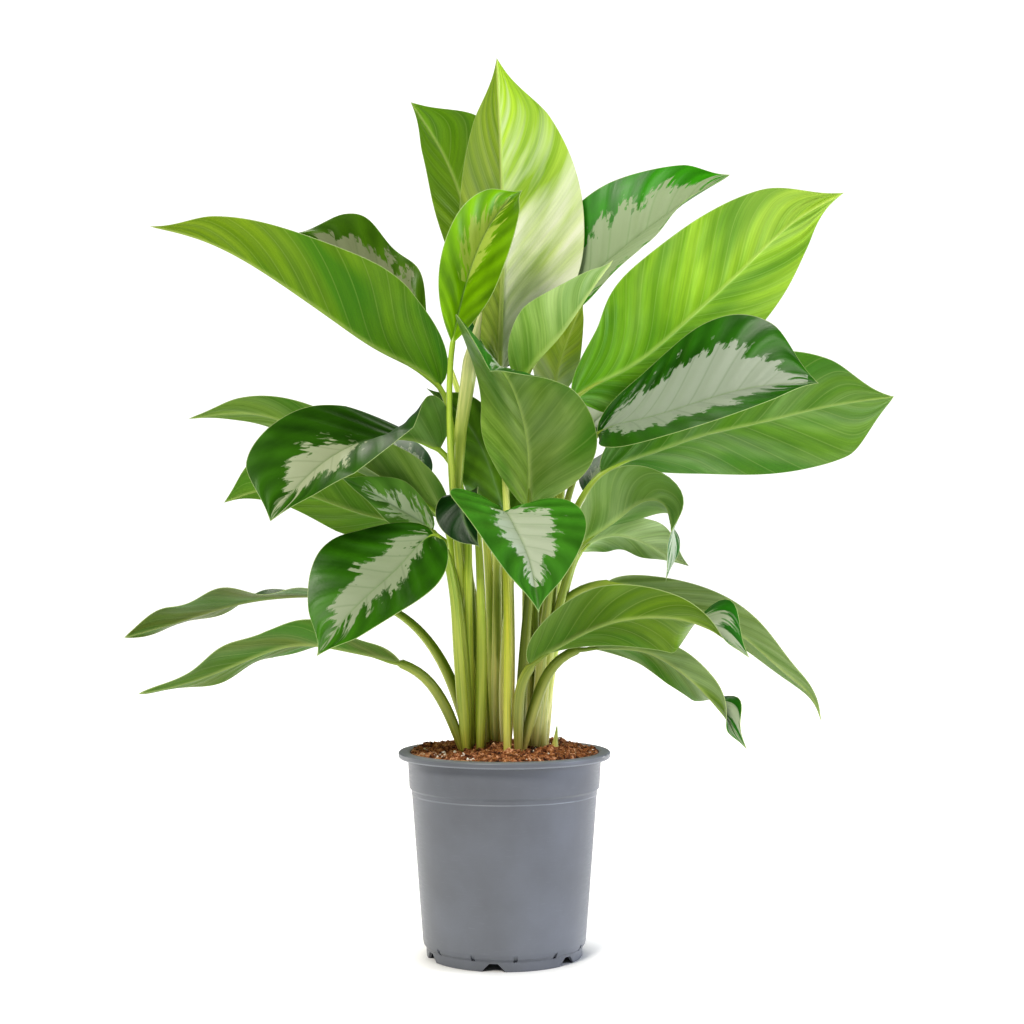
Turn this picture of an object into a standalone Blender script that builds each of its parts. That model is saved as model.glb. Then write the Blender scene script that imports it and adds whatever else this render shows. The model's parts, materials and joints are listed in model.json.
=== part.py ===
# Potted Chinese evergreen: five leafy shoots with silver-patterned leaves in a grey nursery pot.
# Metres, +Z up, viewed from -Y. The origin is on the floor, on the pot's axis.
import math

import bmesh
import bpy
import numpy as np
from mathutils import Matrix, Vector

MM = 0.001
GAP = 0.3 * MM  # between pieces that touch

# Pot, in mm: a 21 cm container 200 mm high with a stepped rim and a foot ring
TURN_STEPS = 40
POT_PROFILE = [  # radius, height: up the inside, over the rim, down the outside, under the floor
    (0, 11), (76.5, 11), (78.2, 14), (90.3, 162), (92.6, 166), (94.2, 200.7), (97, 201.5),
    (104, 201.5), (105.5, 200), (105.5, 196.5), (104.5, 195), (96.2, 194.5), (94.6, 165.8),
    (92.4, 163.5), (81, 16), (80, 12), (78.4, 10.4), (77.6, 9.2), (77, 0), (74, 0), (74, 8), (0, 8),
]
NOTCH_COUNT, NOTCH_TURN = 6, -7.5  # drainage notches in the foot ring, degrees left of the front
NOTCH_WIDTH, NOTCH_TOP, NOTCH_HEIGHT = 23, 8, 7.6
NOTCH_INNER, NOTCH_OUTER = 72.5, 80

# Soil, in mm: fills the pot, a low mound with a hole for each shoot's foot
SOIL_PROFILE = [
    (0, 205.5), (16, 205.4), (32, 204.8), (48, 203.8), (64, 202.4), (78, 200.6), (88, 198.8),
    (93.6, 197.5), (92.2, 166.2), (89.9, 162), (77.8, 14.2), (76.1, 11.4), (0, 11.4),
]
SOIL_BUMP = 1.2
FOOT_BOTTOM, FOOT_TOP = 170, 203.5  # a shoot's foot stands in the soil between these heights

# Leaf blades and stalks
ALONG, ACROSS = 12, 4  # faces of a blade's grid
BLADE_THICK, MARGIN_SHARE = 1.8, 0.45  # mm at the midrib, and the margin's share of it
STALK_STEPS, STALK_FOOT, STALK_NECK = 9, 4.0, 2.7  # pieces of a stalk, its radii in mm at the soil and the blade
SHEATH = 2.2  # mm that the sheath round a stalk's lower part adds
SHEATH_FROM, SHEATH_LONG = 20, 60  # mm from the stalk's start to its sheath, and on to its thickest
STALK_END = 0.8  # mm left between a stalk's end and its blade
EVEN_SHAPE = (0.42, 0.7, 1.8, 1.2)

# Leaves, in mm (x right, y to the back, z up from the floor).
# stalk: from the shoot's foot upwards. rib: the midrib from the blade's base to its tip.
# face: where the upper side looks, from base to tip. half: widths left and right of the rib,
# seen from the base with the upper side up. left, right: (fold up at the rib, curl), degrees.
# wave: (height, waves along the margin, phase). ls, rs: each side's outline, as in outline().
LEAVES = {
    "leaf_tall_centre": dict(
        stalk=[(3, 16, 200), (4, 10, 400), (-2, 8, 520)],
        rib=[(-4, 8, 575), (-2, 22, 680), (-3, 26, 780), (-8, 12, 900)], face=[(0.24, 0.97, 0)],
        half=(88, 78), left=(36, -14), right=(44, -10), wave=(3, 1.5, 0.1), ls=(0.48, 1.3, 2.1, 0.95),
        rs=(0.5, 1.2, 2, 1.1)),
    "leaf_tall_left": dict(
        stalk=[(-8, 28, 200), (-8, 40, 420), (-10, 52, 560)],
        rib=[(-12, 62, 620), (-34, 92, 732), (-67, 104, 826), (-100, 92, 876)], face=[(0.3, 0.9, 0.2)],
        half=(66, 34), left=(25, -10), right=(10, -10), wave=(3, 2, 0.2), ls=(0.55, 0.9, 3.2, 1),
        rs=(0.5, 0.9, 2.4, 1.1)),
    "leaf_young_centre": dict(
        stalk=[(-26, -4, 200), (-46, -14, 400), (-54, -36, 550)],
        rib=[(-51, -36, 602), (-42, -38, 646), (-28, -42, 690), (-6, -36, 732), (18, -22, 758)],
        face=[(0.05, -0.95, 0.3)], half=(37, 42), left=(42, -10), right=(40, -5), wave=(2, 1.5, 0.3),
        ls=(0.55, 1, 2.4, 1.1), rs=(0.5, 1, 2.2, 1.1)),
    "leaf_high_left": dict(
        stalk=[(-30, 0, 200), (-38, 2, 400), (-52, -2, 510)],
        rib=[(-64, -10, 562), (-121, -22, 598), (-162, -30, 624), (-210, -36, 657),
             (-297, -42, 705), (-349, -38, 719)], face=[(0.3, 0.1, 0.95)], half=(72, 66), left=(62, 0),
        right=(42, 0), wave=(2, 1.5, 0), ls=(0.35, 0.7, 1.5, 1.1), rs=(0.35, 0.7, 1.5, 1.2)),
    "leaf_back_left": dict(
        stalk=[(-13, 32, 200), (-20, 48, 420), (-44, 62, 550)],
        rib=[(-67, 76, 610), (-109, 88, 658), (-167, 90, 702), (-227, 84, 735)],
        face=[(0.2, -0.7, 0.7)], half=(52, 62), left=(10, -10), right=(20, -10), wave=(8, 2.5, 0),
        ls=(0.5, 1, 2, 1.1), rs=(0.66, 2.2, 2.6, 1)),
    "leaf_high_right": dict(
        stalk=[(32, 27, 200), (34, 38, 420), (44, 44, 560)],
        rib=[(54, 48, 640), (98, 48, 692), (140, 42, 726), (188, 28, 759), (228, 8, 780)],
        face=[(0.2, -0.35, 0.9)], half=(68, 60), left=(50, 0), right=[(8, 0), (8, 0), (-4, 0)],
        wave=(2.5, 2, 0.3), ls=(0.45, 0.8, 2.8, 1.1), rs=(0.5, 0.8, 2.4, 1.1)),
    "leaf_slim_right": dict(
        stalk=[(26, 0, 200), (22, -10, 400), (18, -28, 520)],
        rib=[(18, -36, 565), (50, -38, 607), (84, -34, 655), (108, -26, 688)], face=[(-0.5, 0.3, 0.8)],
        half=(40, 44), left=(40, 0), right=(55, 0), wave=(1.5, 1.5, 0.3), rs=(0.35, 0.7, 1.6, 1.2)),
    "leaf_young_right": dict(
        stalk=[(36, 10, 200), (42, 8, 400), (46, 4, 500)],
        rib=[(48, 4, 552), (58, 6, 600), (80, 4, 654)], face=[(-0.3, 0.9, 0.2)], half=(25, 27),
        left=(20, -5), right=(20, -5), wave=(1.5, 1.5, 0.3)),
    "leaf_broad_right": dict(
        stalk=[(40, 6, 200), (50, 2, 380), (58, -6, 490)],
        rib=[(67, -10, 548), (116, 2, 580), (183, 6, 632), (247, 4, 691), (294, -8, 733),
             (337, -24, 755)], face=[(-0.25, 0.85, 0.45)], half=(78, 78), left=(12, -6), right=(14, -6),
        wave=(3, 2, 0.3), ls=(0.44, 0.8, 1.8, 1.1), rs=(0.42, 0.9, 2.4, 1)),
    "leaf_silver_right": dict(
        stalk=[(30, -10, 200), (44, -24, 360), (68, -34, 470)],
        rib=[(90, -40, 513), (130, -66, 526), (184, -102, 540), (237, -126, 552), (290, -140, 554)],
        face=[(-0.1, -0.7, 0.7)], half=(82, 84), left=(25, -5), right=(25, -10), wave=(2.5, 1.5, 0.2),
        ls=(0.6, 0.9, 2.6, 1), rs=(0.4, 0.8, 1.8, 1.1)),
    "leaf_far_right": dict(
        stalk=[(40, 20, 200), (52, 22, 360), (76, 20, 450)],
        rib=[(97, 20, 477), (150, 32, 501), (199, 36, 518), (260, 36, 532), (330, 28, 548),
             (393, 12, 556)], face=[(-0.1, 0.75, 0.65)], half=(84, 80), left=(10, -5), right=(12, -5),
        wave=(3, 2, 0.3), ls=(0.68, 1.7, 3.4, 0.9), rs=(0.5, 0.7, 2.4, 1.1)),
    "leaf_centre_fold": dict(
        stalk=[(14, -30, 200), (22, -30, 330), (26, -36, 400)],
        rib=[(25, -40, 438), (25, -54, 480), (20, -70, 522), (6, -92, 560), (-6, -126, 572),
             (-12, -164, 562)], face=[(0.35, 0.85, 0.3), (0.5, 0.55, 0.7), (0.5, 0.1, 0.85)],
        half=(74, 86), left=(12, -8), right=(26, -5), wave=(2, 1.5, 0), ls=(0.42, 1.1, 1.8, 1.1),
        rs=(0.5, 0.9, 2.6, 0.9)),
    "leaf_centre_shade": dict(
        stalk=[(0, 17, 200), (2, 22, 320), (6, 24, 380)],
        rib=[(4, 24, 419), (-9, 26, 466), (-27, 28, 512), (-55, 28, 548), (-80, 24, 566)],
        face=[(0.3, -0.9, 0.3)], half=(40, 40), left=(15, -5), right=(15, -5), wave=(2.5, 1.5, 0.3)),
    "leaf_silver_left": dict(
        stalk=[(-34, -14, 200), (-36, -12, 380), (-44, -6, 465)],
        rib=[(-64, -8, 500), (-104, -22, 512), (-150, -60, 500), (-186, -96, 470), (-216, -130, 427)],
        face=[(0, 0.1, 1), (0, -0.6, 0.8), (0, -0.8, 0.62), (-0.2, -0.8, 0.6)], half=(70, 62),
        left=[(62, 0), (36, 0), (26, -5), (20, -5)], right=(20, -5), wave=(2.5, 1.5, 0.2),
        ls=(0.3, 0.5, 2, 1), rs=(0.66, 1, 2.8, 1)),
    "leaf_mid_left": dict(
        stalk=[(-36, 4, 200), (-40, 6, 330), (-48, 8, 395)],
        rib=[(-75, 4, 419), (-137, -10, 437), (-182, -20, 452), (-230, -30, 461), (-274, -40, 447)],
        face=[(0.1, 0.8, 0.55)], half=(42, 40), left=(15, -5), right=(15, -5), wave=(2.5, 1.5, 0.2),
        ls=(0.5, 0.8, 3.2, 0.9), rs=(0.4, 0.8, 1.3, 1.2)),
    "leaf_small_left": dict(
        stalk=[(-36, -20, 200), (-44, -20, 340), (-56, -22, 395)],
        rib=[(-70, -26, 418), (-102, -34, 440), (-132, -42, 458), (-160, -48, 472)],
        face=[(0.1, -0.7, 0.7)], half=(28, 30), left=(15, -5), right=(15, -5), wave=(2.5, 1.5, 0.2)),
    "leaf_long_left": dict(
        stalk=[(-30, -8, 200), (-42, -6, 340), (-52, -6, 400)],
        rib=[(-61, -5, 431), (-99, 2, 461), (-130, 6, 480), (-190, 10, 516), (-250, 8, 538),
             (-316, -4, 532)], face=[(0.1, 0.7, 0.7)], half=(40, 28), left=(15, -5), right=(15, -5),
        wave=(2, 1.5, 0.2), ls=(0.22, 0.7, 1.3, 0.7), rs=(0.3, 0.8, 1.6, 0.9)),
    "leaf_low_silver_left": dict(
        stalk=[(-37, -25, 200), (-46, -38, 320), (-54, -50, 385)],
        rib=[(-66, -60, 414), (-95, -84, 390), (-121, -106, 364), (-148, -124, 336), (-172, -136, 303)],
        face=[(-0.2, -0.75, 0.62)], half=(62, 66), left=(20, -5), right=(20, -5), wave=(2.5, 1.5, 0.2),
        ls=(0.42, 0.7, 2.2, 1), rs=(0.5, 0.7, 2, 1.25)),
    "leaf_low_left_upper": dict(
        stalk=[(-32, -6, 200), (-60, -2, 285), (-90, 4, 325)],
        rib=[(-115, 10, 342), (-197, 26, 355), (-269, 32, 347), (-329, 26, 329), (-382, 10, 313)],
        face=[(0, -0.5, 0.85), (0, 0, 1), (0, 0.6, 0.8)], half=(32, 30), left=(22, -5), right=(10, -5),
        wave=(3, 2, 0.2), ls=(0.5, 0.8, 4, 0.8), rs=(0.5, 0.8, 3, 0.9)),
    "leaf_low_left_lower": dict(
        stalk=[(-40, -22, 200), (-62, -30, 255), (-82, -38, 280)],
        rib=[(-99, -45, 290), (-149, -60, 304), (-200, -74, 310), (-250, -86, 294),
             (-305, -100, 274), (-342, -108, 266)], face=[(0, 0.1, 1), (0, 0.5, 0.85), (0, 0.4, 0.9)],
        half=(26, 25), left=[(30, -5), (35, -5), (12, -5)], right=[(25, 0), (10, -5), (5, -5)],
        wave=(3, 2, 0.1), ls=(0.36, 0.9, 2.4, 0.8), rs=(0.6, 1, 2.4, 0.9)),
    "leaf_front_silver": dict(
        stalk=[(3, -47, 200), (3, -47, 330), (0, -47, 400)], sheath=0.6,
        rib=[(-2, -50, 434), (12, -108, 418), (25, -165, 384), (31, -206, 345)],
        face=[(0.25, -0.7, 0.7)], half=(66, 76), left=(28, -8), right=(28, -8), wave=(2, 1.5, 0.2),
        ls=(0.36, 0.7, 1.8, 1.2), rs=(0.36, 0.7, 1.6, 1)),
    "leaf_arched_right": dict(
        stalk=[(31, -8, 200), (48, -16, 320), (62, -24, 375)],
        rib=[(72, -30, 401), (108, -45, 430), (136, -58, 449), (152, -70, 447), (160, -82, 415),
             (153, -90, 370)], face=[(-0.3, 0.75, 0.6), (0, 0.6, 0.8), (0.8, -0.6, 0.1)], half=(40, 46),
        left=[(60, 0), (10, 0), (5, 0)], right=(15, -5), wave=(2, 1.5, 0.2), ls=(0.4, 0.9, 1.6, 1.2),
        rs=(0.4, 0.8, 1.6, 1.2)),
    "leaf_small_right": dict(
        stalk=[(34, -2, 200), (52, -4, 320), (66, -4, 380)],
        rib=[(75, 0, 399), (106, 4, 416), (135, 3, 411), (162, 0, 397), (184, -4, 385)],
        face=[(0, 0.8, 0.6)], half=(23, 25), left=(12, -5), right=(15, -5), wave=(2, 1.5, 0.2),
        ls=(0.4, 0.8, 1.6, 1.1), rs=(0.5, 0.9, 2.4, 1)),
    "leaf_low_right": dict(
        stalk=[(14, -44, 199), (14, -56, 250), (18, -62, 275)],
        rib=[(25, -65, 288), (53, -80, 310), (90, -92, 329), (137, -102, 338), (183, -108, 331),
             (229, -112, 300)], face=[(-0.05, 0.7, 0.7)], half=(49, 38), left=(0, -5), right=(22, -5),
        wave=(2, 1.5, 0.2), ls=(0.72, 2.2, 2.4, 1), rs=(0.4, 0.65, 1.3, 1.1)),
    "leaf_low_far_right": dict(
        stalk=[(38, -6, 200), (42, -8, 300), (62, -8, 352)],
        rib=[(101, -5, 368), (146, 0, 360), (195, 0, 341), (240, 0, 314), (280, -4, 279),
             (308, -8, 251), (314, -12, 230)], face=[(0.3, 0.6, 0.7)], half=(21, 28), left=(8, -5),
        right=(15, -5), wave=(2, 1.5, 0.2)),
    "leaf_low_slim_right": dict(
        stalk=[(16, -36, 200), (30, -40, 250), (50, -40, 290)],
        rib=[(70, -40, 303), (102, -43, 306), (136, -48, 303), (169, -54, 285), (200, -60, 256),
             (233, -66, 209)], face=[(0.1, 0.7, 0.7), (0.3, 0.7, 0.7), (0.6, 0.3, 0.7)], half=(30, 22),
        left=(8, -5), right=(15, -5), wave=(2, 1.5, 0.2), ls=(0.6, 1.6, 2.6, 1), rs=(0.66, 1.5, 2.4, 1)),
    "leaf_front_shade": dict(
        stalk=[(-24, -22, 200), (-24, -23, 380), (-28, -25, 438)],
        rib=[(-31, -30, 454), (-36, -42, 456), (-40, -54, 443), (-35, -64, 421), (-23, -73, 403)],
        face=[(-0.5, -0.7, 0.5)], half=(18, 28), left=(12, -5), right=(15, -5), wave=(2, 1.5, 0.2)),
    "leaf_rear_upper": dict(
        stalk=[(-4, 32, 200), (-6, 50, 420), (-10, 70, 540)],
        rib=[(-8, 82, 590), (-6, 118, 640), (-4, 156, 680), (-6, 192, 700)], face=[(0.1, -0.6, 0.8)],
        half=(44, 42), left=(15, -15), right=(15, -15), wave=(2.5, 1.5, 0.2)),
    "leaf_rear_right": dict(
        stalk=[(29, 26, 200), (36, 50, 380), (58, 66, 470)],
        rib=[(76, 76, 512), (118, 112, 556), (160, 152, 580), (196, 188, 588)],
        face=[(-0.3, -0.4, 0.85)], half=(56, 54), left=(15, -15), right=(15, -15), wave=(2.5, 1.5, 0.2)),
    "leaf_rear_centre": dict(
        stalk=[(-10, 32, 200), (-10, 54, 360), (-8, 74, 440)],
        rib=[(-4, 92, 474), (2, 132, 510), (6, 172, 524), (8, 206, 516)], face=[(0.05, -0.35, 0.9)],
        half=(48, 48), left=(15, -15), right=(15, -15), wave=(2.5, 1.5, 0.2)),
    "leaf_rear_low_left": dict(
        stalk=[(-17, 30, 200), (-34, 52, 360), (-60, 72, 440)],
        rib=[(-84, 84, 474), (-128, 116, 506), (-172, 150, 514), (-208, 180, 496)],
        face=[(0.2, -0.3, 0.9)], half=(50, 48), left=(15, -15), right=(15, -15), wave=(2.5, 1.5, 0.2)),
    "leaf_rear_low_right": dict(
        stalk=[(37, 26, 200), (50, 44, 340), (72, 62, 420)],
        rib=[(90, 76, 456), (132, 108, 492), (178, 142, 508), (220, 172, 500)],
        face=[(-0.2, -0.3, 0.9)], half=(52, 50), left=(15, -15), right=(15, -15), wave=(2.5, 1.5, 0.2)),
}

# Shoots: the foot is an elliptical cylinder in the soil, from which the leaf stalks rise.
# canes: thicker stems (points, radii) that some stalks leave from.
SHOOTS = {
    "shoot_left": dict(
        foot=(-32, -12), radii=(15, 22),
        leaves=["leaf_young_centre", "leaf_high_left", "leaf_silver_left", "leaf_mid_left",
                "leaf_small_left", "leaf_long_left", "leaf_low_silver_left", "leaf_low_left_upper",
                "leaf_low_left_lower", "leaf_front_shade"],
        canes=[([(-24, -8, 190), (-24, -8, 241)], (6, 6)),
               ([(-45, -12, 400), (-46, -8, 460), (-44, -3, 520), (-34, 2, 590), (-24, 4, 640)],
                (4, 6, 11, 8, 1.5))]),
    "shoot_centre": dict(
        foot=(-8, 22), radii=(20, 18),
        leaves=["leaf_tall_centre", "leaf_tall_left", "leaf_back_left", "leaf_centre_shade",
                "leaf_rear_upper", "leaf_rear_centre", "leaf_rear_low_left"],
        canes=[]),
    "shoot_right": dict(
        foot=(34, 8), radii=(14, 28),
        leaves=["leaf_high_right", "leaf_slim_right", "leaf_young_right", "leaf_broad_right",
                "leaf_silver_right", "leaf_far_right", "leaf_arched_right", "leaf_small_right",
                "leaf_low_far_right", "leaf_rear_right", "leaf_rear_low_right"],
        canes=[([(32, 16, 190), (32, 17, 250), (33, 18, 310)], (9, 8.5, 5))]),
    "shoot_front_right": dict(
        foot=(15, -37), radii=(8, 13),
        leaves=["leaf_centre_fold", "leaf_low_right", "leaf_low_slim_right"], canes=[]),
    "shoot_front": dict(foot=(3, -47), radii=(4.5, 4.5), leaves=["leaf_front_silver"], canes=[]),
    "shoot_spike": dict(
        foot=(50, -15), radii=(4, 4), leaves=[],
        canes=[([(50, -15, 190), (50, -15, 208), (52, -16, 227)], (3.6, 3.2, 0.5))]),
}

# Colours, linear, and roughness
COLOURS = {
    "pot": (0.205, 0.215, 0.225), "soil": (0.12, 0.05, 0.025), "stalk": (0.42, 0.5, 0.16),
    "dark": (0.035, 0.12, 0.025), "mid": (0.13, 0.31, 0.05), "lime": (0.31, 0.53, 0.05),
    "cream": (0.6, 0.72, 0.36), "silver": (0.3, 0.42, 0.24),
}
LEAF_COLOUR = {
    "leaf_tall_centre": "cream", "leaf_tall_left": "mid", "leaf_young_centre": "lime",
    "leaf_high_left": "mid", "leaf_high_right": "silver", "leaf_slim_right": "cream",
    "leaf_young_right": "lime", "leaf_broad_right": "lime", "leaf_silver_right": "silver",
    "leaf_far_right": "mid", "leaf_centre_fold": "mid", "leaf_long_left": "mid",
    "leaf_low_right": "mid", "leaf_low_far_right": "mid", "leaf_arched_right": "mid",
    "leaf_small_right": "mid", "leaf_mid_left": "mid", "leaf_front_silver": "silver",
}


def clear_scene():
    for obj in list(bpy.data.objects):
        bpy.data.objects.remove(obj, do_unlink=True)
    for collection in list(bpy.data.collections):
        bpy.data.collections.remove(collection)


def new_collection(name):
    collection = bpy.data.collections.new(name)
    bpy.context.scene.collection.children.link(collection)
    return collection


def material(name, colour, roughness):
    made = bpy.data.materials.new(name)
    made.use_nodes = True
    shader = made.node_tree.nodes["Principled BSDF"]
    shader.inputs["Base Color"].default_value = (*colour, 1)
    shader.inputs["Roughness"].default_value = roughness
    shader.inputs["Metallic"].default_value = 0
    made.diffuse_color = (*colour, 1)
    return made


def new_object(name, mesh, collection):
    obj = bpy.data.objects.new(name, mesh)
    collection.objects.link(obj)
    return obj


def bmesh_object(name, bm, collection):
    mesh = bpy.data.meshes.new(name)
    bm.to_mesh(mesh)
    bm.free()
    return new_object(name, mesh, collection)


def as_helper(obj):
    obj.hide_render = True
    obj.display_type = "WIRE"


def baked_mesh(obj):
    """The object's mesh as its modifiers leave it, with doubles merged."""
    bpy.context.view_layer.update()
    graph = bpy.context.evaluated_depsgraph_get()
    mesh = bpy.data.meshes.new_from_object(obj.evaluated_get(graph), depsgraph=graph)
    bm = bmesh.new()
    bm.from_mesh(mesh)
    bmesh.ops.remove_doubles(bm, verts=bm.verts, dist=0.002 * MM)
    bmesh.ops.recalc_face_normals(bm, faces=bm.faces)
    bm.to_mesh(mesh)
    bm.free()
    return mesh


def apply_modifiers(obj):
    mesh = baked_mesh(obj)
    obj.modifiers.clear()
    obj.data = mesh


def turned(name, profile, collection):
    """A profile of (radius, height) in mm turned about the Z axis."""
    mesh = bpy.data.meshes.new(name)
    points = [(r * MM, 0, z * MM) for r, z in profile]
    mesh.from_pydata(points, [(i, i + 1) for i in range(len(points) - 1)], [])
    obj = new_object(name, mesh, collection)
    screw = obj.modifiers.new("Turn", "SCREW")
    screw.steps = screw.render_steps = TURN_STEPS
    screw.use_merge_vertices = True
    screw.merge_threshold = 0.00001
    screw.use_smooth_shade = True
    return obj


def cut(obj, cutters, name):
    boolean = obj.modifiers.new(name, "BOOLEAN")
    boolean.operation = "DIFFERENCE"
    boolean.solver = "EXACT"
    boolean.operand_type = "COLLECTION"
    boolean.collection = cutters


def ellipse_cylinder(name, centre, radii, low, high, sides, collection):
    bm = bmesh.new()
    bmesh.ops.create_cone(bm, cap_ends=True, segments=sides, radius1=1, radius2=1, depth=1)
    bmesh.ops.scale(bm, vec=(radii[0] * MM, radii[1] * MM, (high - low) * MM), verts=bm.verts)
    middle = Vector((centre[0], centre[1], (low + high) / 2)) * MM
    bmesh.ops.translate(bm, vec=middle, verts=bm.verts)
    return bmesh_object(name, bm, collection)


# The pot: a turned shell, with wedge-shaped notches through its foot ring
def make_pot(parts, cutters):
    pot = turned("pot", POT_PROFILE, parts)
    for i in range(NOTCH_COUNT):
        bm = bmesh.new()
        bmesh.ops.create_cube(bm, size=1)
        for vert in bm.verts:
            upper = vert.co.z > 0
            vert.co.x *= (NOTCH_TOP if upper else NOTCH_WIDTH) * MM
            vert.co.y = -(NOTCH_OUTER if vert.co.y < 0 else NOTCH_INNER) * MM
            vert.co.z = (NOTCH_HEIGHT if upper else -2) * MM
        bmesh.ops.recalc_face_normals(bm, faces=bm.faces)
        cutter = bmesh_object(f"foot_notch_{i + 1}", bm, cutters["foot_notches"])
        cutter.rotation_euler.z = math.radians(NOTCH_TURN + 360 / NOTCH_COUNT * i)
        as_helper(cutter)
    cut(pot, cutters["foot_notches"], "Foot notches")
    pot.data.materials.append(material("pot_plastic", COLOURS["pot"], 0.45))
    return pot


# The soil: a turned body with low bumps on top and a hole for each shoot's foot
def soil_bump(x, y):
    return SOIL_BUMP * (math.sin(x * 0.11 + 0.6) * math.cos(y * 0.13) + 0.5 * math.sin((x - y) * 0.21))


def make_soil(parts, cutters):
    soil = turned("soil", SOIL_PROFILE, parts)
    apply_modifiers(soil)
    edge = SOIL_PROFILE[7][0]
    for vert in soil.data.vertices:
        x, y, z = (c / MM for c in vert.co)
        fade = max(0, 1 - (math.hypot(x, y) / edge) ** 4)
        if z > SOIL_PROFILE[7][1] + 0.5:
            vert.co.z += soil_bump(x, y) * fade * MM
    for name, shoot in SHOOTS.items():
        radii = [r + GAP / MM for r in shoot["radii"]]
        hole = ellipse_cylinder(
            f"{name}_hole", shoot["foot"], radii, FOOT_BOTTOM, 225, 20, cutters["soil_holes"])
        as_helper(hole)
    cut(soil, cutters["soil_holes"], "Shoot holes")
    soil.data.materials.append(material("potting_soil", COLOURS["soil"], 0.95))
    return soil


# Leaf form: a spline for stalk and midrib, an outline, and two halves folded up along the rib
def spline(points, samples=60):
    """A natural cubic spline through the points: the curve, its lengths and the points' lengths."""
    p = np.asarray(points, float)
    t = np.concatenate([[0], np.cumsum(np.linalg.norm(np.diff(p, axis=0), axis=1))])
    n, h = len(p), np.diff(t)
    matrix, right = np.eye(n), np.zeros((n, 3))
    for i in range(1, n - 1):
        matrix[i, i - 1:i + 2] = h[i - 1], 2 * (h[i - 1] + h[i]), h[i]
        right[i] = 6 * ((p[i + 1] - p[i]) / h[i] - (p[i] - p[i - 1]) / h[i - 1])
    m = np.linalg.solve(matrix, right)
    s = np.linspace(0, t[-1], samples * (n - 1) + 1)
    k = np.clip(np.searchsorted(t, s, side="right") - 1, 0, n - 2)
    before, after, hk = (s - t[k])[:, None], (t[k + 1] - s)[:, None], h[k][:, None]
    curve = (m[k] * after ** 3 + m[k + 1] * before ** 3) / (6 * hk)
    curve += (p[k] / hk - m[k] * hk / 6) * after + (p[k + 1] / hk - m[k + 1] * hk / 6) * before
    return curve, s, t


def even(curve, share):
    """Points of the curve at these shares of its length."""
    length = np.concatenate([[0], np.cumsum(np.linalg.norm(np.diff(curve, axis=0), axis=1))])
    return np.stack([np.interp(np.asarray(share) * length[-1], length, curve[:, i]) for i in range(3)], -1)


def leaf_paths(leaf):
    curve, s, t = spline(leaf["stalk"] + leaf["rib"])
    base = np.searchsorted(s, t[len(leaf["stalk"])])
    return curve[:base + 1], curve[base:]


def outline(u, shape):
    """Half width as a share, 0 at base and tip, 1 at the belly."""
    belly, base, power, tip = shape
    low = (1 - (1 - np.clip(u / belly, 0, 1)) ** 2.2) ** base
    past = np.clip((u - belly) / (1 - belly), 0, 1)
    return np.where(u < belly, low, (1 - past ** power) ** tip)


def keyed(values, u):
    """Values spread evenly from base to tip; a single one holds all along."""
    table = np.atleast_2d(np.asarray(values, float))
    if len(table) == 1:
        return np.repeat(table, len(u), 0)
    keys = np.linspace(0, 1, len(table))
    return np.stack([np.interp(u, keys, table[:, i]) for i in range(table.shape[1])], -1)


def unit(vectors):
    return vectors / np.linalg.norm(vectors, axis=-1, keepdims=True)


def blade_points(leaf, u, v):
    """The blade's mid surface in mm: u runs from base to tip, v from the left margin to the right."""
    rib = leaf_paths(leaf)[1]
    middle = even(rib, u)
    along = unit(even(rib, np.clip(u + 0.01, 0, 1)) - even(rib, np.clip(u - 0.01, 0, 1)))
    face = keyed(leaf["face"], u)
    up = unit(face - (face * along).sum(-1, keepdims=True) * along)
    side = np.cross(along, up)
    grid_u, grid_v = np.meshgrid(u, v, indexing="ij")
    is_left, out = grid_v < 0, np.abs(grid_v)
    half = np.where(
        is_left,
        (leaf["half"][0] * outline(u, leaf.get("ls", EVEN_SHAPE)))[:, None],
        (leaf["half"][1] * outline(u, leaf.get("rs", EVEN_SHAPE)))[:, None])
    left, right = np.radians(keyed(leaf["left"], u)), np.radians(keyed(leaf["right"], u))
    fold = np.where(is_left, left[:, :1], right[:, :1])
    curl = np.where(is_left, left[:, 1:], right[:, 1:])
    chord = out * np.sinc(curl * out / 2 / math.pi)
    across = half * chord * np.cos(fold + curl * out / 2) * np.sign(grid_v)
    raised = half * chord * np.sin(fold + curl * out / 2)
    height, waves, phase = leaf["wave"]
    turn = 2 * math.pi * (waves * grid_u + phase + np.where(is_left, 0, 0.37))
    raised += height * out ** 2 * np.sin(turn) * np.sqrt(np.abs(np.sin(math.pi * grid_u)))
    return middle[:, None] + across[..., None] * side[:, None] + raised[..., None] * up[:, None]


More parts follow.
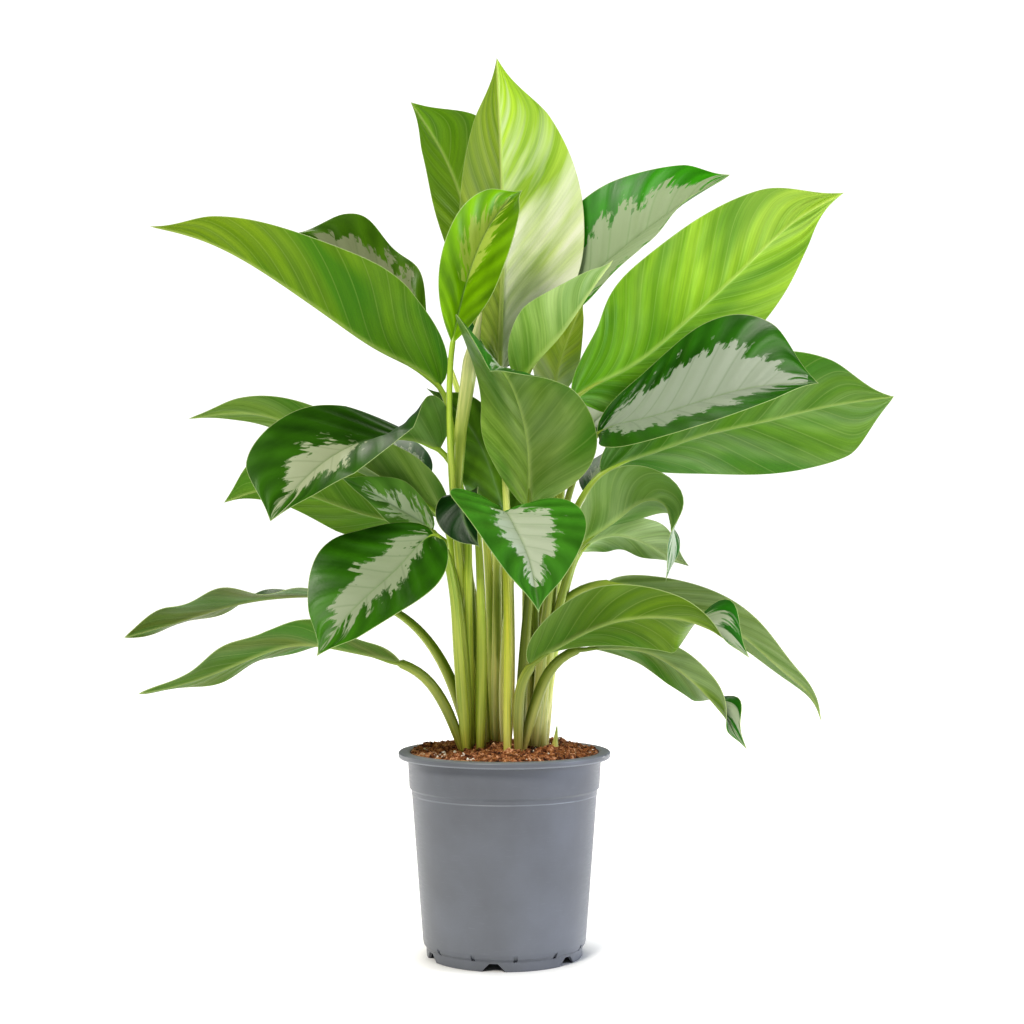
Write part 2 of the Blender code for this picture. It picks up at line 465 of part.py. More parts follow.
# A blade: a grid bent to the leaf form, split into triangles, then given its thickness
def make_blade(name, leaf, parts, colours):
    points = blade_points(leaf, np.linspace(0, 1, ALONG + 1), np.linspace(-1, 1, ACROSS + 1)) * MM
    bm = bmesh.new()
    bmesh.ops.create_grid(bm, x_segments=ALONG, y_segments=ACROSS, size=1)
    thickness = bm.verts.layers.deform.verify()
    for vert in bm.verts:
        i, j = round((vert.co.x + 1) / 2 * ALONG), round((vert.co.y + 1) / 2 * ACROSS)
        vert[thickness][0] = 1 - abs(2 * j / ACROSS - 1)
        vert.co = points[i, j]
    bmesh.ops.triangulate(bm, faces=bm.faces, quad_method="SHORT_EDGE")
    bmesh.ops.remove_doubles(bm, verts=bm.verts, dist=0.01 * MM)
    bmesh.ops.recalc_face_normals(bm, faces=bm.faces)
    obj = bmesh_object(name, bm, parts)
    obj.vertex_groups.new(name="midrib")
    shell = obj.modifiers.new("Thickness", "SOLIDIFY")
    shell.thickness = BLADE_THICK * MM
    shell.offset = 0
    shell.vertex_group = "midrib"
    shell.thickness_vertex_group = MARGIN_SHARE
    obj.data.shade_smooth()
    obj.data.materials.append(colours[LEAF_COLOUR.get(name, "dark")])
    return obj


# A stalk or cane: a tube along a POLY curve with filled caps, made a mesh
def tube(name, points, radii, collection):
    curve = bpy.data.curves.new(name, "CURVE")
    curve.dimensions = "3D"
    curve.bevel_depth = MM
    curve.bevel_resolution = 1
    curve.use_fill_caps = True
    path = curve.splines.new("POLY")
    path.points.add(len(points) - 1)
    for point, place, radius in zip(path.points, points, radii):
        point.co = (*(c * MM for c in place), 1)
        point.radius = radius
    guide = new_object(name + "_path", curve, collection)
    mesh = baked_mesh(guide)
    bpy.data.objects.remove(guide, do_unlink=True)
    return new_object(name, mesh, collection)


def make_stalk(name, leaf, collection):
    path = leaf_paths(leaf)[0]
    foot = np.array([leaf["stalk"][0][:2] + (FOOT_TOP - 16,)], float)
    path = np.concatenate([foot, path])
    length = np.linalg.norm(np.diff(path, axis=0), axis=1).sum()
    share = np.linspace(0, 1 - STALK_END / length, STALK_STEPS + 1)
    radii = STALK_FOOT + (STALK_NECK - STALK_FOOT) * share
    up = np.clip(share * length - SHEATH_FROM, 0, None) / SHEATH_LONG
    radii = radii + leaf.get("sheath", SHEATH) * up * np.exp(1 - up)
    return tube(name, even(path, share), radii, collection)


# A shoot: its foot, stalks and canes joined by one union
def make_shoot(name, shoot, parts, stalk_colour):
    pieces = new_collection(name + "_pieces")
    for leaf in shoot["leaves"]:
        make_stalk("stalk_of_" + leaf, LEAVES[leaf], pieces)
    for i, (points, radii) in enumerate(shoot["canes"]):
        tube(f"{name}_cane_{i + 1}", points, radii, pieces)
    obj = ellipse_cylinder(
        name, shoot["foot"], shoot["radii"], FOOT_BOTTOM + GAP / MM, FOOT_TOP, 20, parts)
    union = obj.modifiers.new("Join", "BOOLEAN")
    union.operation = "UNION"
    union.solver = "EXACT"
    union.operand_type = "COLLECTION"
    union.collection = pieces
    apply_modifiers(obj)
    for piece in list(pieces.objects):
        bpy.data.objects.remove(piece, do_unlink=True)
    bpy.data.collections.remove(pieces)
    obj.data.shade_smooth()
    obj.data.materials.append(stalk_colour)
    return obj


def main():
    clear_scene()
    parts = new_collection("potted_evergreen")
    helpers = new_collection("cutters")
    cutters = {}
    for name in ("foot_notches", "soil_holes"):
        cutters[name] = bpy.data.collections.new(name)
        helpers.children.link(cutters[name])
    make_pot(parts, cutters)
    make_soil(parts, cutters)
    colours = {name: material("leaf_" + name, COLOURS[name], 0.4)
               for name in ("dark", "mid", "lime", "cream", "silver")}
    stalk_colour = material("leaf_stalk", COLOURS["stalk"], 0.45)
    for name, leaf in LEAVES.items():
        make_blade(name, leaf, parts, colours)
    for name, shoot in SHOOTS.items():
        make_shoot(name, shoot, parts, stalk_colour)
    helpers.hide_render = True


main()
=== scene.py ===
import json
import math

import bpy
import numpy as np
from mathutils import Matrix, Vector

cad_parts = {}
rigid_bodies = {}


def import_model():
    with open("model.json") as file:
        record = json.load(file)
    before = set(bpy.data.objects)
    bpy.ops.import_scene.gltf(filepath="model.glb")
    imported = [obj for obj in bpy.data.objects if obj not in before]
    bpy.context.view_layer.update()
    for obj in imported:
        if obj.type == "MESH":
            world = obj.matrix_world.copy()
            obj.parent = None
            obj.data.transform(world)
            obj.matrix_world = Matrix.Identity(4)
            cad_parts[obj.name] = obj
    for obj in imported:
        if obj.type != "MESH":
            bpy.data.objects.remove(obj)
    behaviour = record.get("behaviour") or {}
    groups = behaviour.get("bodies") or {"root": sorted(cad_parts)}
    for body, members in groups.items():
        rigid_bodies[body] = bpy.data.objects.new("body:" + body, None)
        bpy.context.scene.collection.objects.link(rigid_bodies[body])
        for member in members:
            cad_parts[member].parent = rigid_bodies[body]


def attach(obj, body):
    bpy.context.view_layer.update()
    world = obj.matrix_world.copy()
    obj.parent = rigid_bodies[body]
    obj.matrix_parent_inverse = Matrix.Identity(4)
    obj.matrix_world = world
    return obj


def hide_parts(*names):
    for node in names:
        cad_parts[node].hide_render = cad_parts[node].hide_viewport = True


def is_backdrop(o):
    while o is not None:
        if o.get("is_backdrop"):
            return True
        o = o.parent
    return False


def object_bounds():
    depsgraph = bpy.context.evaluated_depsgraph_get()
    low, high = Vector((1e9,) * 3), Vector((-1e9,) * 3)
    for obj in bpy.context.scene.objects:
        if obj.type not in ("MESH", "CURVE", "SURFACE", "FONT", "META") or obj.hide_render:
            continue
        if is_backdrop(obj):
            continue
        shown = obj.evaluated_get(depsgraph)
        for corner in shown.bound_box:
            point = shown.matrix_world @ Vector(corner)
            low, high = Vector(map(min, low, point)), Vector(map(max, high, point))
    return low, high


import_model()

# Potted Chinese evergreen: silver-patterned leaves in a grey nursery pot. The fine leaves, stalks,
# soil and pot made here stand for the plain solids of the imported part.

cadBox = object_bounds()
mm = 0.001
turn = 2 * math.pi


# General tools

def linear(hexColour):  # sRGB hex to the linear red, green, blue and alpha that nodes and attributes take
    share = np.array([int(hexColour[i:i + 2], 16) for i in (1, 3, 5)]) / 255
    return [*np.where(share <= 0.04045, share / 12.92, ((share + 0.055) / 1.055) ** 2.4), 1]


# Adds one node. links maps an input's name or number to a value, a socket or a node, whose first
# output in use is then linked. stops are the places and colours of a colour ramp.
def addNode(tree, kind, links=None, stops=(), **settings):
    node = tree.nodes.new("ShaderNode" + kind)
    for name, value in settings.items():
        setattr(node, name, value)
    for number, (place, colour) in enumerate(stops):
        ramp = node.color_ramp.elements
        stop = ramp[number] if number < 2 else ramp.new(place)
        stop.position, stop.color = place, linear(colour)
    for key, value in (links or {}).items():
        if isinstance(value, bpy.types.Node):
            value = next(output for output in value.outputs if output.enabled)
        if isinstance(value, bpy.types.NodeSocket):
            tree.links.new(value, node.inputs[key])
        else:
            node.inputs[key].default_value = value
    return node


# The commonest nodes, by their inputs in order
def remap(tree, value, low, high, newLow=0, newHigh=1, **settings):  # a value carried to another range
    return addNode(tree, "MapRange", {0: value, 1: low, 2: high, 3: newLow, 4: newHigh}, **settings)


def compute(tree, operation, *values, **settings):  # arithmetic
    return addNode(tree, "Math", dict(enumerate(values)), operation=operation, **settings)


def mixColours(tree, share, colour, other, **settings):  # from one colour to the other by the share
    return addNode(tree, "Mix", {0: share, 6: colour, 7: other}, data_type="RGBA", **settings)


def addNoise(tree, place, scale, detail, **links):  # features 1 / scale wide
    return addNode(tree, "TexNoise", {"Vector": place, "Scale": scale, "Detail": detail, **links})


def stretchedNoise(tree, place, scales, detail):  # a scale of its own along x, y and z
    stretched = addNode(tree, "VectorMath", {0: place, 1: scales}, operation="MULTIPLY")
    return addNoise(tree, stretched, 1, detail)


# Ends a material: the principled shader over a relief of this height, strength and depth in m
def surfaced(tree, height, strength, depth, links):
    relief = addNode(tree, "Bump", {"Strength": strength, "Distance": depth, "Height": height})
    surface = addNode(tree, "BsdfPrincipled", {**links, "Normal": relief})
    addNode(tree, "OutputMaterial", {"Surface": surface})


def newMaterial(name):  # an empty material and its node tree
    made = bpy.data.materials.new(name)
    made.use_nodes = True
    made.node_tree.nodes.clear()
    return made, made.node_tree


# A mesh from whole arrays: points in mm, triangles of point numbers, and attributes by name,
# numbers (n), vectors (n, 3) or colours (n, 4). sharpAbove keeps edges crisp past that angle.
def meshPiece(name, points, triangles, materials, attributes=None, faceMaterial=None, sharpAbove=50):
    mesh = bpy.data.meshes.new(name)
    mesh.vertices.add(len(points))
    mesh.vertices.foreach_set("co", (np.asarray(points) * mm).astype(np.float32).ravel())
    mesh.loops.add(3 * len(triangles))
    mesh.loops.foreach_set("vertex_index", np.asarray(triangles, np.int32).ravel())
    mesh.polygons.add(len(triangles))
    mesh.polygons.foreach_set("loop_start", np.arange(0, 3 * len(triangles), 3, dtype=np.int32))
    for made in materials:
        mesh.materials.append(made)
    if faceMaterial is not None:
        mesh.polygons.foreach_set("material_index", np.asarray(faceMaterial, np.int32))
    for key, values in (attributes or {}).items():
        values = np.asarray(values, np.float32)
        kind, field = {1: ("FLOAT", "value"), 3: ("FLOAT_VECTOR", "vector"), 4: ("FLOAT_COLOR", "color")}[
            1 if values.ndim == 1 else values.shape[1]]
        mesh.attributes.new(key, kind, "POINT").data.foreach_set(field, values.ravel())
    mesh.update(calc_edges=True)
    mesh.shade_smooth()
    mesh.set_sharp_from_angle(angle=math.radians(sharpAbove))
    piece = bpy.data.objects.new(name, mesh)
    bpy.context.scene.collection.objects.link(piece)
    return piece


# Triangles of a grid of point numbers. A row drawn together to one point leaves no flat triangle.
# Seen from outside, rows run up and columns to the left; reversed columns face the other way.
def gridTriangles(index):
    a, b, c, d = index[:-1, :-1], index[1:, :-1], index[1:, 1:], index[:-1, 1:]
    made = np.concatenate([np.stack([a, b, c], -1).reshape(-1, 3), np.stack([a, c, d], -1).reshape(-1, 3)])
    keep = (made[:, 0] != made[:, 1]) & (made[:, 1] != made[:, 2]) & (made[:, 2] != made[:, 0])
    return made[keep]


# A closed skin: rings of points, an array (rings, places round, 3), drawn together to the first and
# the last point. order -1 turns its faces round. Returns points and triangles.
def closedRings(first, rings, last, order=1):
    number = 2 + np.arange(rings[..., 0].size).reshape(rings.shape[:2])
    number = np.concatenate([0 * number[:1], number, 0 * number[:1] + 1])
    number = np.concatenate([number, number[:, :1]], 1)
    return np.concatenate([[first], [last], rings.reshape(-1, 3)]), gridTriangles(number[:, ::order])


def unit(vectors):  # each vector divided by its length
    return vectors / np.maximum(np.linalg.norm(vectors, axis=-1, keepdims=True), 1e-9)


# Soft noise from -1 to 1: seeded random values at whole numbers, blended by 3t^2 - 2t^3 between them
def softNoise(x, y, seed):
    table = np.random.default_rng(seed).uniform(-1, 1, (64, 64))
    left, low = np.floor(x).astype(int), np.floor(y).astype(int)
    s, t = x - left, y - low
    s, t = s * s * (3 - 2 * s), t * t * (3 - 2 * t)
    corner = lambda i, j: table[(left + i) % 64, (low + j) % 64]
    return ((corner(0, 0) * (1 - s) + corner(1, 0) * s) * (1 - t)
            + (corner(0, 1) * (1 - s) + corner(1, 1) * s) * t)


# Leaf blades, in mm (x right, y to the back, z up from the floor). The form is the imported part's.
# These values hold for every leaf that has none of its own in the table below.
blade = dict(
    left=(15, -5), right=(15, -5),  # degrees: the fold and the curl of each half
    wave=(2.5, 1.5, 0.2),  # the margin's height in mm, count and phase
    leftShape=(0.42, 0.7, 1.8, 1.2), rightShape=(0.42, 0.7, 1.8, 1.2),  # belly, base, power and tip
    basePower=2.2, drip=0.18, dripNarrows=0.5,  # shares of its length and width for the drip tip
    twist=(1, 0),  # the tip turns from this share of the length on, by these degrees
    twistNarrows=0.42, twistFolds=0.75,  # share of its width that it loses, radians that it folds
    alongStep=3.4, acrossStep=3.2,  # mm between the grid's points
    rows=(30, 110), columns=(10, 26), crowding=1.35,  # least and most; columns crowd to the midrib
    thick=0.9, margin=0.45,  # mm at the midrib and at the margin
    veinSpacing=25, veinSweep=0.26,  # mm between side veins, and how far they lean to the tip
    quilt=1.2, quiltShare=(0.65, 0.5),  # mm that the blade swells between side veins, and how unevenly
    flatRib=7, flatMargin=9,  # mm beside the midrib and the margin over which the swelling fades
    ridge=2.3, ridgeWidth=2.2, groove=0.45, grooveWidth=1.5,  # mm: the midrib below, its groove above
    ribTaper=0.85, paleRib=1.3,  # share of its height lost to the tip, mm of its pale line above
    mapStep=20,  # mm of the materials' map between side veins
    # some undersides lit from behind have brighter colours: a painted glow of the light through the leaf
    upper=("#1d5410", "#256a10"), under=("#5f8a30", "#6a9438"),  # colours from base to tip
    silver=(0.5, 0.5, 0.06, 0.96),  # the marking's share of each half, and where it begins and ends
    opening=0.16, closing=0.3,  # share of the length over which it widens and narrows
    mark="#b2bea2", creamColour="#eff3cc", cream=(0, 0),  # its colour; cream streaks below, by halves
    creamFades=0.7,  # share of the cream lost to the tip
    paintedSheen=0.5, halves=(1, 1),  # share of painted grey sheen below, and how bright each half is painted, as shade of the fold
    ribShows=1, stalkShade=1)  # how pale the midrib is below, and how bright the stalk is

# The leaves: stalk and rib are points of one spline, face is where the upper side looks from base to
# tip, and half gives the widths left and right of the rib. Any other name changes a value of the
# blade or the stalk dictionary for that leaf.
leaves = {
    "leaf_tall_centre": dict(
        stalk=[(3, 16, 200), (4, 10, 400), (-2, 8, 520)],
        rib=[(-4, 8, 575), (-2, 22, 680), (-3, 26, 780), (-8, 12, 900)], face=[(0.24, 0.97, 0)],
        half=(88, 78), left=(36, -14), right=(44, -10), wave=(3, 1.5, 0.1),
        leftShape=(0.48, 1.3, 2.1, 0.95), rightShape=(0.5, 1.2, 2, 1.1), upper=("#549312", "#65a913"),
        silver=(0.6, 0.6, 0.05, 0.95), under=("#b7cc62", "#a6cc34"), cream=(0.86, 0.2),
        creamColour="#fbfde4", ribShows=1.5, ridge=3.2, quilt=1.3, paintedSheen=0.2, halves=(1.12, 0.66),
        veinSweep=0.33),
    "leaf_tall_left": dict(
        stalk=[(-8, 28, 200), (-8, 40, 420), (-10, 52, 560)],
        rib=[(-12, 62, 620), (-34, 92, 732), (-67, 104, 826), (-100, 92, 876)], face=[(0.3, 0.9, 0.2)],
        half=(66, 34), left=(25, -10), right=(10, -10), wave=(3, 2, 0.2), leftShape=(0.55, 0.9, 3.2, 1),
        rightShape=(0.5, 0.9, 2.4, 1.1), under=("#78902c", "#659410"), paintedSheen=0.15),
    "leaf_young_centre": dict(
        stalk=[(-26, -4, 200), (-46, -14, 400), (-54, -36, 550)],
        rib=[(-51, -36, 602), (-42, -38, 646), (-28, -42, 690), (-6, -36, 732), (18, -22, 758)],
        face=[(0.05, -0.95, 0.3)], half=(37, 42), left=(42, -10), right=(40, -5), wave=(2, 1.5, 0.3),
        leftShape=(0.55, 1, 2.4, 1.1), rightShape=(0.5, 1, 2.2, 1.1), upper=("#7eb008", "#6ea204"),
        silver=(0.5, 0.2, 0.35, 0.92), mark="#a4ba50", under=("#a9d23a", "#9ccb2c"), paintedSheen=0,
        halves=(1.1, 0.75)),
    "leaf_high_left": dict(
        stalk=[(-30, 0, 200), (-38, 2, 400), (-52, -2, 510)],
        rib=[(-64, -10, 562), (-121, -22, 598), (-162, -30, 624), (-210, -36, 657), (-297, -42, 705),
             (-349, -38, 719)], face=[(0.3, 0.1, 0.95)], half=(72, 66), left=(62, 0), right=(42, 0),
        wave=(2, 1.5, 0), leftShape=(0.35, 0.7, 1.5, 1.1), rightShape=(0.35, 0.7, 1.5, 1.2),
        under=("#508400", "#7c9820"), quilt=1.8, paintedSheen=0.1),
    "leaf_back_left": dict(
        stalk=[(-13, 32, 200), (-20, 48, 420), (-44, 62, 550)],
        rib=[(-67, 76, 610), (-109, 88, 658), (-167, 90, 702), (-227, 84, 735)], face=[(0.2, -0.7, 0.7)],
        half=(52, 62), left=(10, -10), right=(20, -10), wave=(8, 2.5, 0), leftShape=(0.5, 1, 2, 1.1),
        rightShape=(0.66, 2.2, 2.6, 1), upper=("#4e7412", "#46700c"), silver=(0.56, 0.62, 0.2, 0.95),
        mark="#8b9370"),
    "leaf_high_right": dict(
        stalk=[(32, 27, 200), (34, 38, 420), (44, 44, 560)],
        rib=[(54, 48, 640), (98, 48, 692), (140, 42, 726), (188, 28, 759), (228, 8, 780)],
        face=[(0.2, -0.35, 0.9)], half=(68, 60), left=(50, 0), right=[(8, 0), (8, 0), (-4, 0)],
        wave=(2.5, 2, 0.3), leftShape=(0.45, 0.8, 2.8, 1.1), rightShape=(0.5, 0.8, 2.4, 1.1),
        upper=("#2f8400", "#358c00"), silver=(0.5, 0.93, 0, 1), mark="#a0b28a"),
    "leaf_slim_right": dict(
        stalk=[(26, 0, 200), (22, -10, 400), (18, -28, 520)],
        rib=[(18, -36, 565), (50, -38, 607), (84, -34, 655), (108, -26, 688)], face=[(-0.5, 0.3, 0.8)],
        half=(40, 44), left=(40, 0), right=(55, 0), wave=(1.5, 1.5, 0.3), rightShape=(0.35, 0.7, 1.6, 1.2),
        under=("#92c040", "#dcf0a8"), paintedSheen=0.4),
    # its underside is painted near white lime and cream: a painted glow of light through the leaf, which
    # stands in shade
    "leaf_young_right": dict(
        stalk=[(36, 10, 200), (42, 8, 400), (46, 4, 500)], rib=[(48, 4, 552), (58, 6, 600), (80, 4, 654)],
        face=[(-0.3, 0.9, 0.2)], half=(25, 27), left=(20, -5), right=(20, -5), wave=(1.5, 1.5, 0.3),
        under=("#f0ff58", "#f6ff78"), cream=(0.8, 0.8), creamColour="#ffffe4", paintedSheen=0),
    "leaf_broad_right": dict(
        stalk=[(40, 6, 200), (50, 2, 380), (58, -6, 490)],
        rib=[(67, -10, 548), (116, 2, 580), (183, 6, 632), (247, 4, 691), (294, -8, 733), (337, -24, 755)],
        face=[(-0.25, 0.85, 0.45)], half=(78, 78), left=(12, -6), right=(14, -6), wave=(3, 2, 0.3),
        leftShape=(0.44, 0.8, 1.8, 1.1), rightShape=(0.42, 0.9, 2.4, 1), upper=("#4f9c22", "#63ad2c"),
        under=("#62a018", "#b0d440"), quilt=2.2, paintedSheen=0.4),
    "leaf_silver_right": dict(
        stalk=[(30, -10, 200), (44, -24, 360), (68, -34, 470)],
        rib=[(90, -40, 513), (130, -66, 526), (184, -102, 540), (237, -126, 552), (290, -140, 554)],
        face=[(-0.1, -0.7, 0.7)], half=(82, 84), left=(25, -5), right=(25, -10),
        leftShape=(0.6, 0.9, 2.6, 1), rightShape=(0.4, 0.8, 1.8, 1.1), upper=("#255a09", "#2d6808"),
        silver=(0.6, 0.5, 0.02, 0.97), mark="#9fab97", quilt=2),
    "leaf_far_right": dict(
        stalk=[(40, 20, 200), (52, 22, 360), (76, 20, 450)],
        rib=[(97, 20, 477), (150, 32, 501), (199, 36, 518), (260, 36, 532), (330, 28, 548), (393, 12, 556)],
        face=[(-0.1, 0.75, 0.65)], half=(84, 80), left=(10, -5), right=(12, -5), wave=(3, 2, 0.3),
        leftShape=(0.68, 1.7, 3.4, 0.9), rightShape=(0.5, 0.7, 2.4, 1.1), under=("#3c6e08", "#668f28"),
        quilt=2, paintedSheen=0.45),
    "leaf_centre_fold": dict(
        stalk=[(14, -30, 200), (22, -30, 330), (26, -36, 400)],
        rib=[(25, -40, 438), (25, -54, 480), (20, -70, 522), (6, -92, 560), (-6, -126, 572),
             (-12, -164, 562)], face=[(0.35, 0.85, 0.3), (0.5, 0.55, 0.7), (0.5, 0.1, 0.85)], half=(74, 86),
        left=(12, -8), right=(26, -5), wave=(2, 1.5, 0), leftShape=(0.42, 1.1, 1.8, 1.1),
        rightShape=(0.5, 0.9, 2.6, 0.9), under=("#94b05a", "#68902a"), paintedSheen=0.5, halves=(0.85, 1.1)),
    "leaf_centre_shade": dict(
        stalk=[(0, 17, 200), (2, 22, 320), (6, 24, 380)],
        rib=[(4, 24, 419), (-9, 26, 466), (-27, 28, 512), (-55, 28, 548), (-80, 24, 566)],
        face=[(0.3, -0.9, 0.3)], half=(40, 40), wave=(5, 3.5, 0.1), upper=("#547a1a", "#5f8a20"),
        silver=(0, 0, 0, 1)),
    "leaf_silver_left": dict(
        stalk=[(-34, -14, 200), (-36, -12, 380), (-44, -6, 465)],
        rib=[(-64, -8, 500), (-104, -22, 512), (-150, -60, 500), (-186, -96, 470), (-216, -130, 427)],
        face=[(0, 0.1, 1), (0, -0.6, 0.8), (0, -0.8, 0.62), (-0.2, -0.8, 0.6)], half=(70, 62),
        left=[(62, 0), (36, 0), (26, -5), (20, -5)], right=(20, -5), leftShape=(0.3, 0.5, 2, 1),
        rightShape=(0.66, 1, 2.8, 1), upper=("#234a08", "#346406"), silver=(0.36, 0.34, 0.4, 1),
        mark="#adb694"),
    "leaf_mid_left": dict(
        stalk=[(-36, 4, 200), (-40, 6, 330), (-48, 8, 395)],
        rib=[(-75, 4, 419), (-137, -10, 437), (-182, -20, 452), (-230, -30, 461), (-274, -40, 447)],
        face=[(0.1, 0.8, 0.55)], half=(42, 40), leftShape=(0.5, 0.8, 3.2, 0.9),
        rightShape=(0.4, 0.8, 1.3, 1.2), under=("#5f881c", "#6a9026"), paintedSheen=0.1),
    "leaf_small_left": dict(
        stalk=[(-36, -20, 200), (-44, -20, 340), (-56, -22, 395)],
        rib=[(-70, -26, 418), (-102, -34, 440), (-132, -42, 458), (-160, -48, 472)],
        face=[(0.1, -0.7, 0.7)], half=(28, 30), upper=("#86b458", "#6a9e3c"), silver=(0.4, 0.4, 0, 0.8),
        mark="#e4ecd0"),
    "leaf_long_left": dict(
        stalk=[(-30, -8, 200), (-42, -6, 340), (-52, -6, 400)],
        rib=[(-61, -5, 431), (-99, 2, 461), (-130, 6, 480), (-190, 10, 516), (-250, 8, 538),
             (-316, -4, 532)], face=[(0.1, 0.7, 0.7)], half=(40, 28), wave=(2, 1.5, 0.2),
        leftShape=(0.22, 0.7, 1.3, 0.7), rightShape=(0.3, 0.8, 1.6, 0.9), under=("#88a84e", "#80a246")),
    "leaf_low_silver_left": dict(
        stalk=[(-37, -25, 200), (-46, -38, 320), (-54, -50, 385)],
        rib=[(-66, -60, 414), (-95, -84, 390), (-121, -106, 364), (-148, -124, 336), (-172, -136, 303)],
        face=[(-0.2, -0.75, 0.62)], half=(62, 66), left=(20, -5), right=(20, -5),
        leftShape=(0.42, 0.7, 2.2, 1), rightShape=(0.5, 0.7, 2, 1.25), upper=("#2d5e0a", "#386e09"),
        silver=(0.3, 0.32, 0.03, 0.98), mark="#9ca88a", quilt=1.7),
    "leaf_low_left_upper": dict(
        stalk=[(-32, -6, 200), (-60, -2, 285), (-90, 4, 325)],
        rib=[(-115, 10, 342), (-197, 26, 355), (-269, 32, 347), (-329, 26, 329), (-382, 10, 313)],
        face=[(0, -0.5, 0.85), (0, 0, 1), (0, 0.6, 0.8)], half=(32, 30), left=(22, -5), right=(10, -5),
        wave=(5, 3.2, 0.3), leftShape=(0.5, 0.8, 4, 0.8), rightShape=(0.5, 0.8, 3, 0.9),
        upper=("#284a1c", "#42662a"), silver=(0.6, 0.6, 0, 0.6), under=("#4c5c1c", "#566424"),
        stalkShade=0.66),
    "leaf_low_left_lower": dict(
        stalk=[(-40, -22, 200), (-62, -30, 255), (-82, -38, 280)],
        rib=[(-99, -45, 290), (-149, -60, 304), (-200, -74, 310), (-250, -86, 294), (-305, -100, 274),
             (-342, -108, 266)], face=[(0, 0.1, 1), (0, 0.5, 0.85), (0, 0.4, 0.9)], half=(26, 25),
        left=[(30, -5), (35, -5), (12, -5)], right=[(25, 0), (10, -5), (5, -5)], wave=(4, 3.2, 0.1),
        leftShape=(0.36, 0.9, 2.4, 0.8), rightShape=(0.6, 1, 2.4, 0.9), under=("#5f722e", "#5a7028"),
        stalkShade=0.6),
    "leaf_front_silver": dict(
        stalk=[(3, -47, 200), (3, -47, 330), (0, -47, 400)], sheath=0.6,
        rib=[(-2, -50, 434), (12, -108, 418), (25, -165, 384), (31, -206, 345)], face=[(0.25, -0.7, 0.7)],
        half=(66, 76), left=(28, -8), right=(28, -8), wave=(2, 1.5, 0.2), leftShape=(0.36, 0.7, 1.8, 1.2),
        rightShape=(0.36, 0.7, 1.6, 1), upper=("#488a26", "#3c741e"), silver=(0.5, 0.36, 0.08, 0.85),
        mark="#bcc6ae", quilt=2.4),
    "leaf_arched_right": dict(
        stalk=[(31, -8, 200), (48, -16, 320), (62, -24, 375)],
        rib=[(72, -30, 401), (108, -45, 430), (136, -58, 449), (152, -70, 447), (160, -82, 415),
             (153, -90, 370)], face=[(-0.3, 0.75, 0.6), (0, 0.6, 0.8), (0.8, -0.6, 0.1)], half=(40, 46),
        left=[(60, 0), (10, 0), (5, 0)], wave=(2, 1.5, 0.2), leftShape=(0.4, 0.9, 1.6, 1.2),
        rightShape=(0.4, 0.8, 1.6, 1.2), under=("#90b060", "#729a50"), paintedSheen=0.9),
    "leaf_small_right": dict(
        stalk=[(34, -2, 200), (52, -4, 320), (66, -4, 380)],
        rib=[(75, 0, 399), (106, 4, 416), (135, 3, 411), (162, 0, 397), (184, -4, 385)],
        face=[(0, 0.8, 0.6)], half=(23, 25), left=(12, -5), wave=(3.5, 2.5, 0.2),
        leftShape=(0.4, 0.8, 1.6, 1.1), rightShape=(0.5, 0.9, 2.4, 1), under=("#c4e09c", "#d0eaac"),
        paintedSheen=1),
    "leaf_low_right": dict(
        stalk=[(14, -44, 199), (14, -56, 250), (18, -62, 275)],
        rib=[(25, -65, 288), (53, -80, 310), (90, -92, 329), (137, -102, 338), (183, -108, 331),
             (229, -112, 300)], face=[(-0.05, 0.7, 0.7)], half=(49, 38), left=(0, -5), right=(22, -5),
        wave=(2, 1.5, 0.2), leftShape=(0.72, 2.2, 2.4, 1), rightShape=(0.4, 0.65, 1.3, 1.1),
        under=("#4e7408", "#64801e"), twist=(0.66, 165), silver=(0.5, 0.5, 0.06, 1.2), mark="#9fab90",
        paintedSheen=0.3),
    "leaf_low_far_right": dict(
        stalk=[(38, -6, 200), (42, -8, 300), (62, -8, 352)],
        rib=[(101, -5, 368), (146, 0, 360), (195, 0, 341), (240, 0, 314), (280, -4, 279), (308, -8, 251),
             (314, -12, 230)], face=[(0.3, 0.6, 0.7)], half=(21, 28), left=(8, -5), wave=(2, 1.5, 0.2),
        under=("#7a964c", "#7c9458"), paintedSheen=0.8),
    "leaf_low_slim_right": dict(
        stalk=[(16, -36, 200), (30, -40, 250), (50, -40, 290)],
        rib=[(70, -40, 303), (102, -43, 306), (136, -48, 303), (169, -54, 285), (200, -60, 256),
             (233, -66, 209)], face=[(0.1, 0.7, 0.7), (0.3, 0.7, 0.7), (0.6, 0.3, 0.7)], half=(30, 22),
        left=(8, -5), wave=(2, 1.5, 0.2), leftShape=(0.6, 1.6, 2.6, 1), rightShape=(0.66, 1.5, 2.4, 1),
        under=("#5a7836", "#66822e"), twist=(0.65, 165), silver=(0.7, 0.7, 0.06, 1.2), mark="#9fab90",
        paintedSheen=1),
    "leaf_front_shade": dict(
        stalk=[(-24, -22, 200), (-24, -23, 380), (-28, -25, 438)],
        rib=[(-31, -30, 454), (-36, -42, 456), (-40, -54, 443), (-35, -64, 421), (-23, -73, 403)],
        face=[(-0.5, -0.7, 0.5)], half=(18, 28), left=(12, -5), wave=(1, 1.5, 0.2),
        upper=("#083402", "#083002"), silver=(0, 0, 0, 1)),
    "leaf_rear_upper": dict(
        stalk=[(-4, 32, 200), (-6, 50, 420), (-10, 70, 540)],
        rib=[(-8, 82, 590), (-6, 118, 640), (-4, 156, 680), (-6, 192, 700)], face=[(0.1, -0.6, 0.8)],
        half=(44, 42), left=(15, -15), right=(15, -15)),
    "leaf_rear_right": dict(
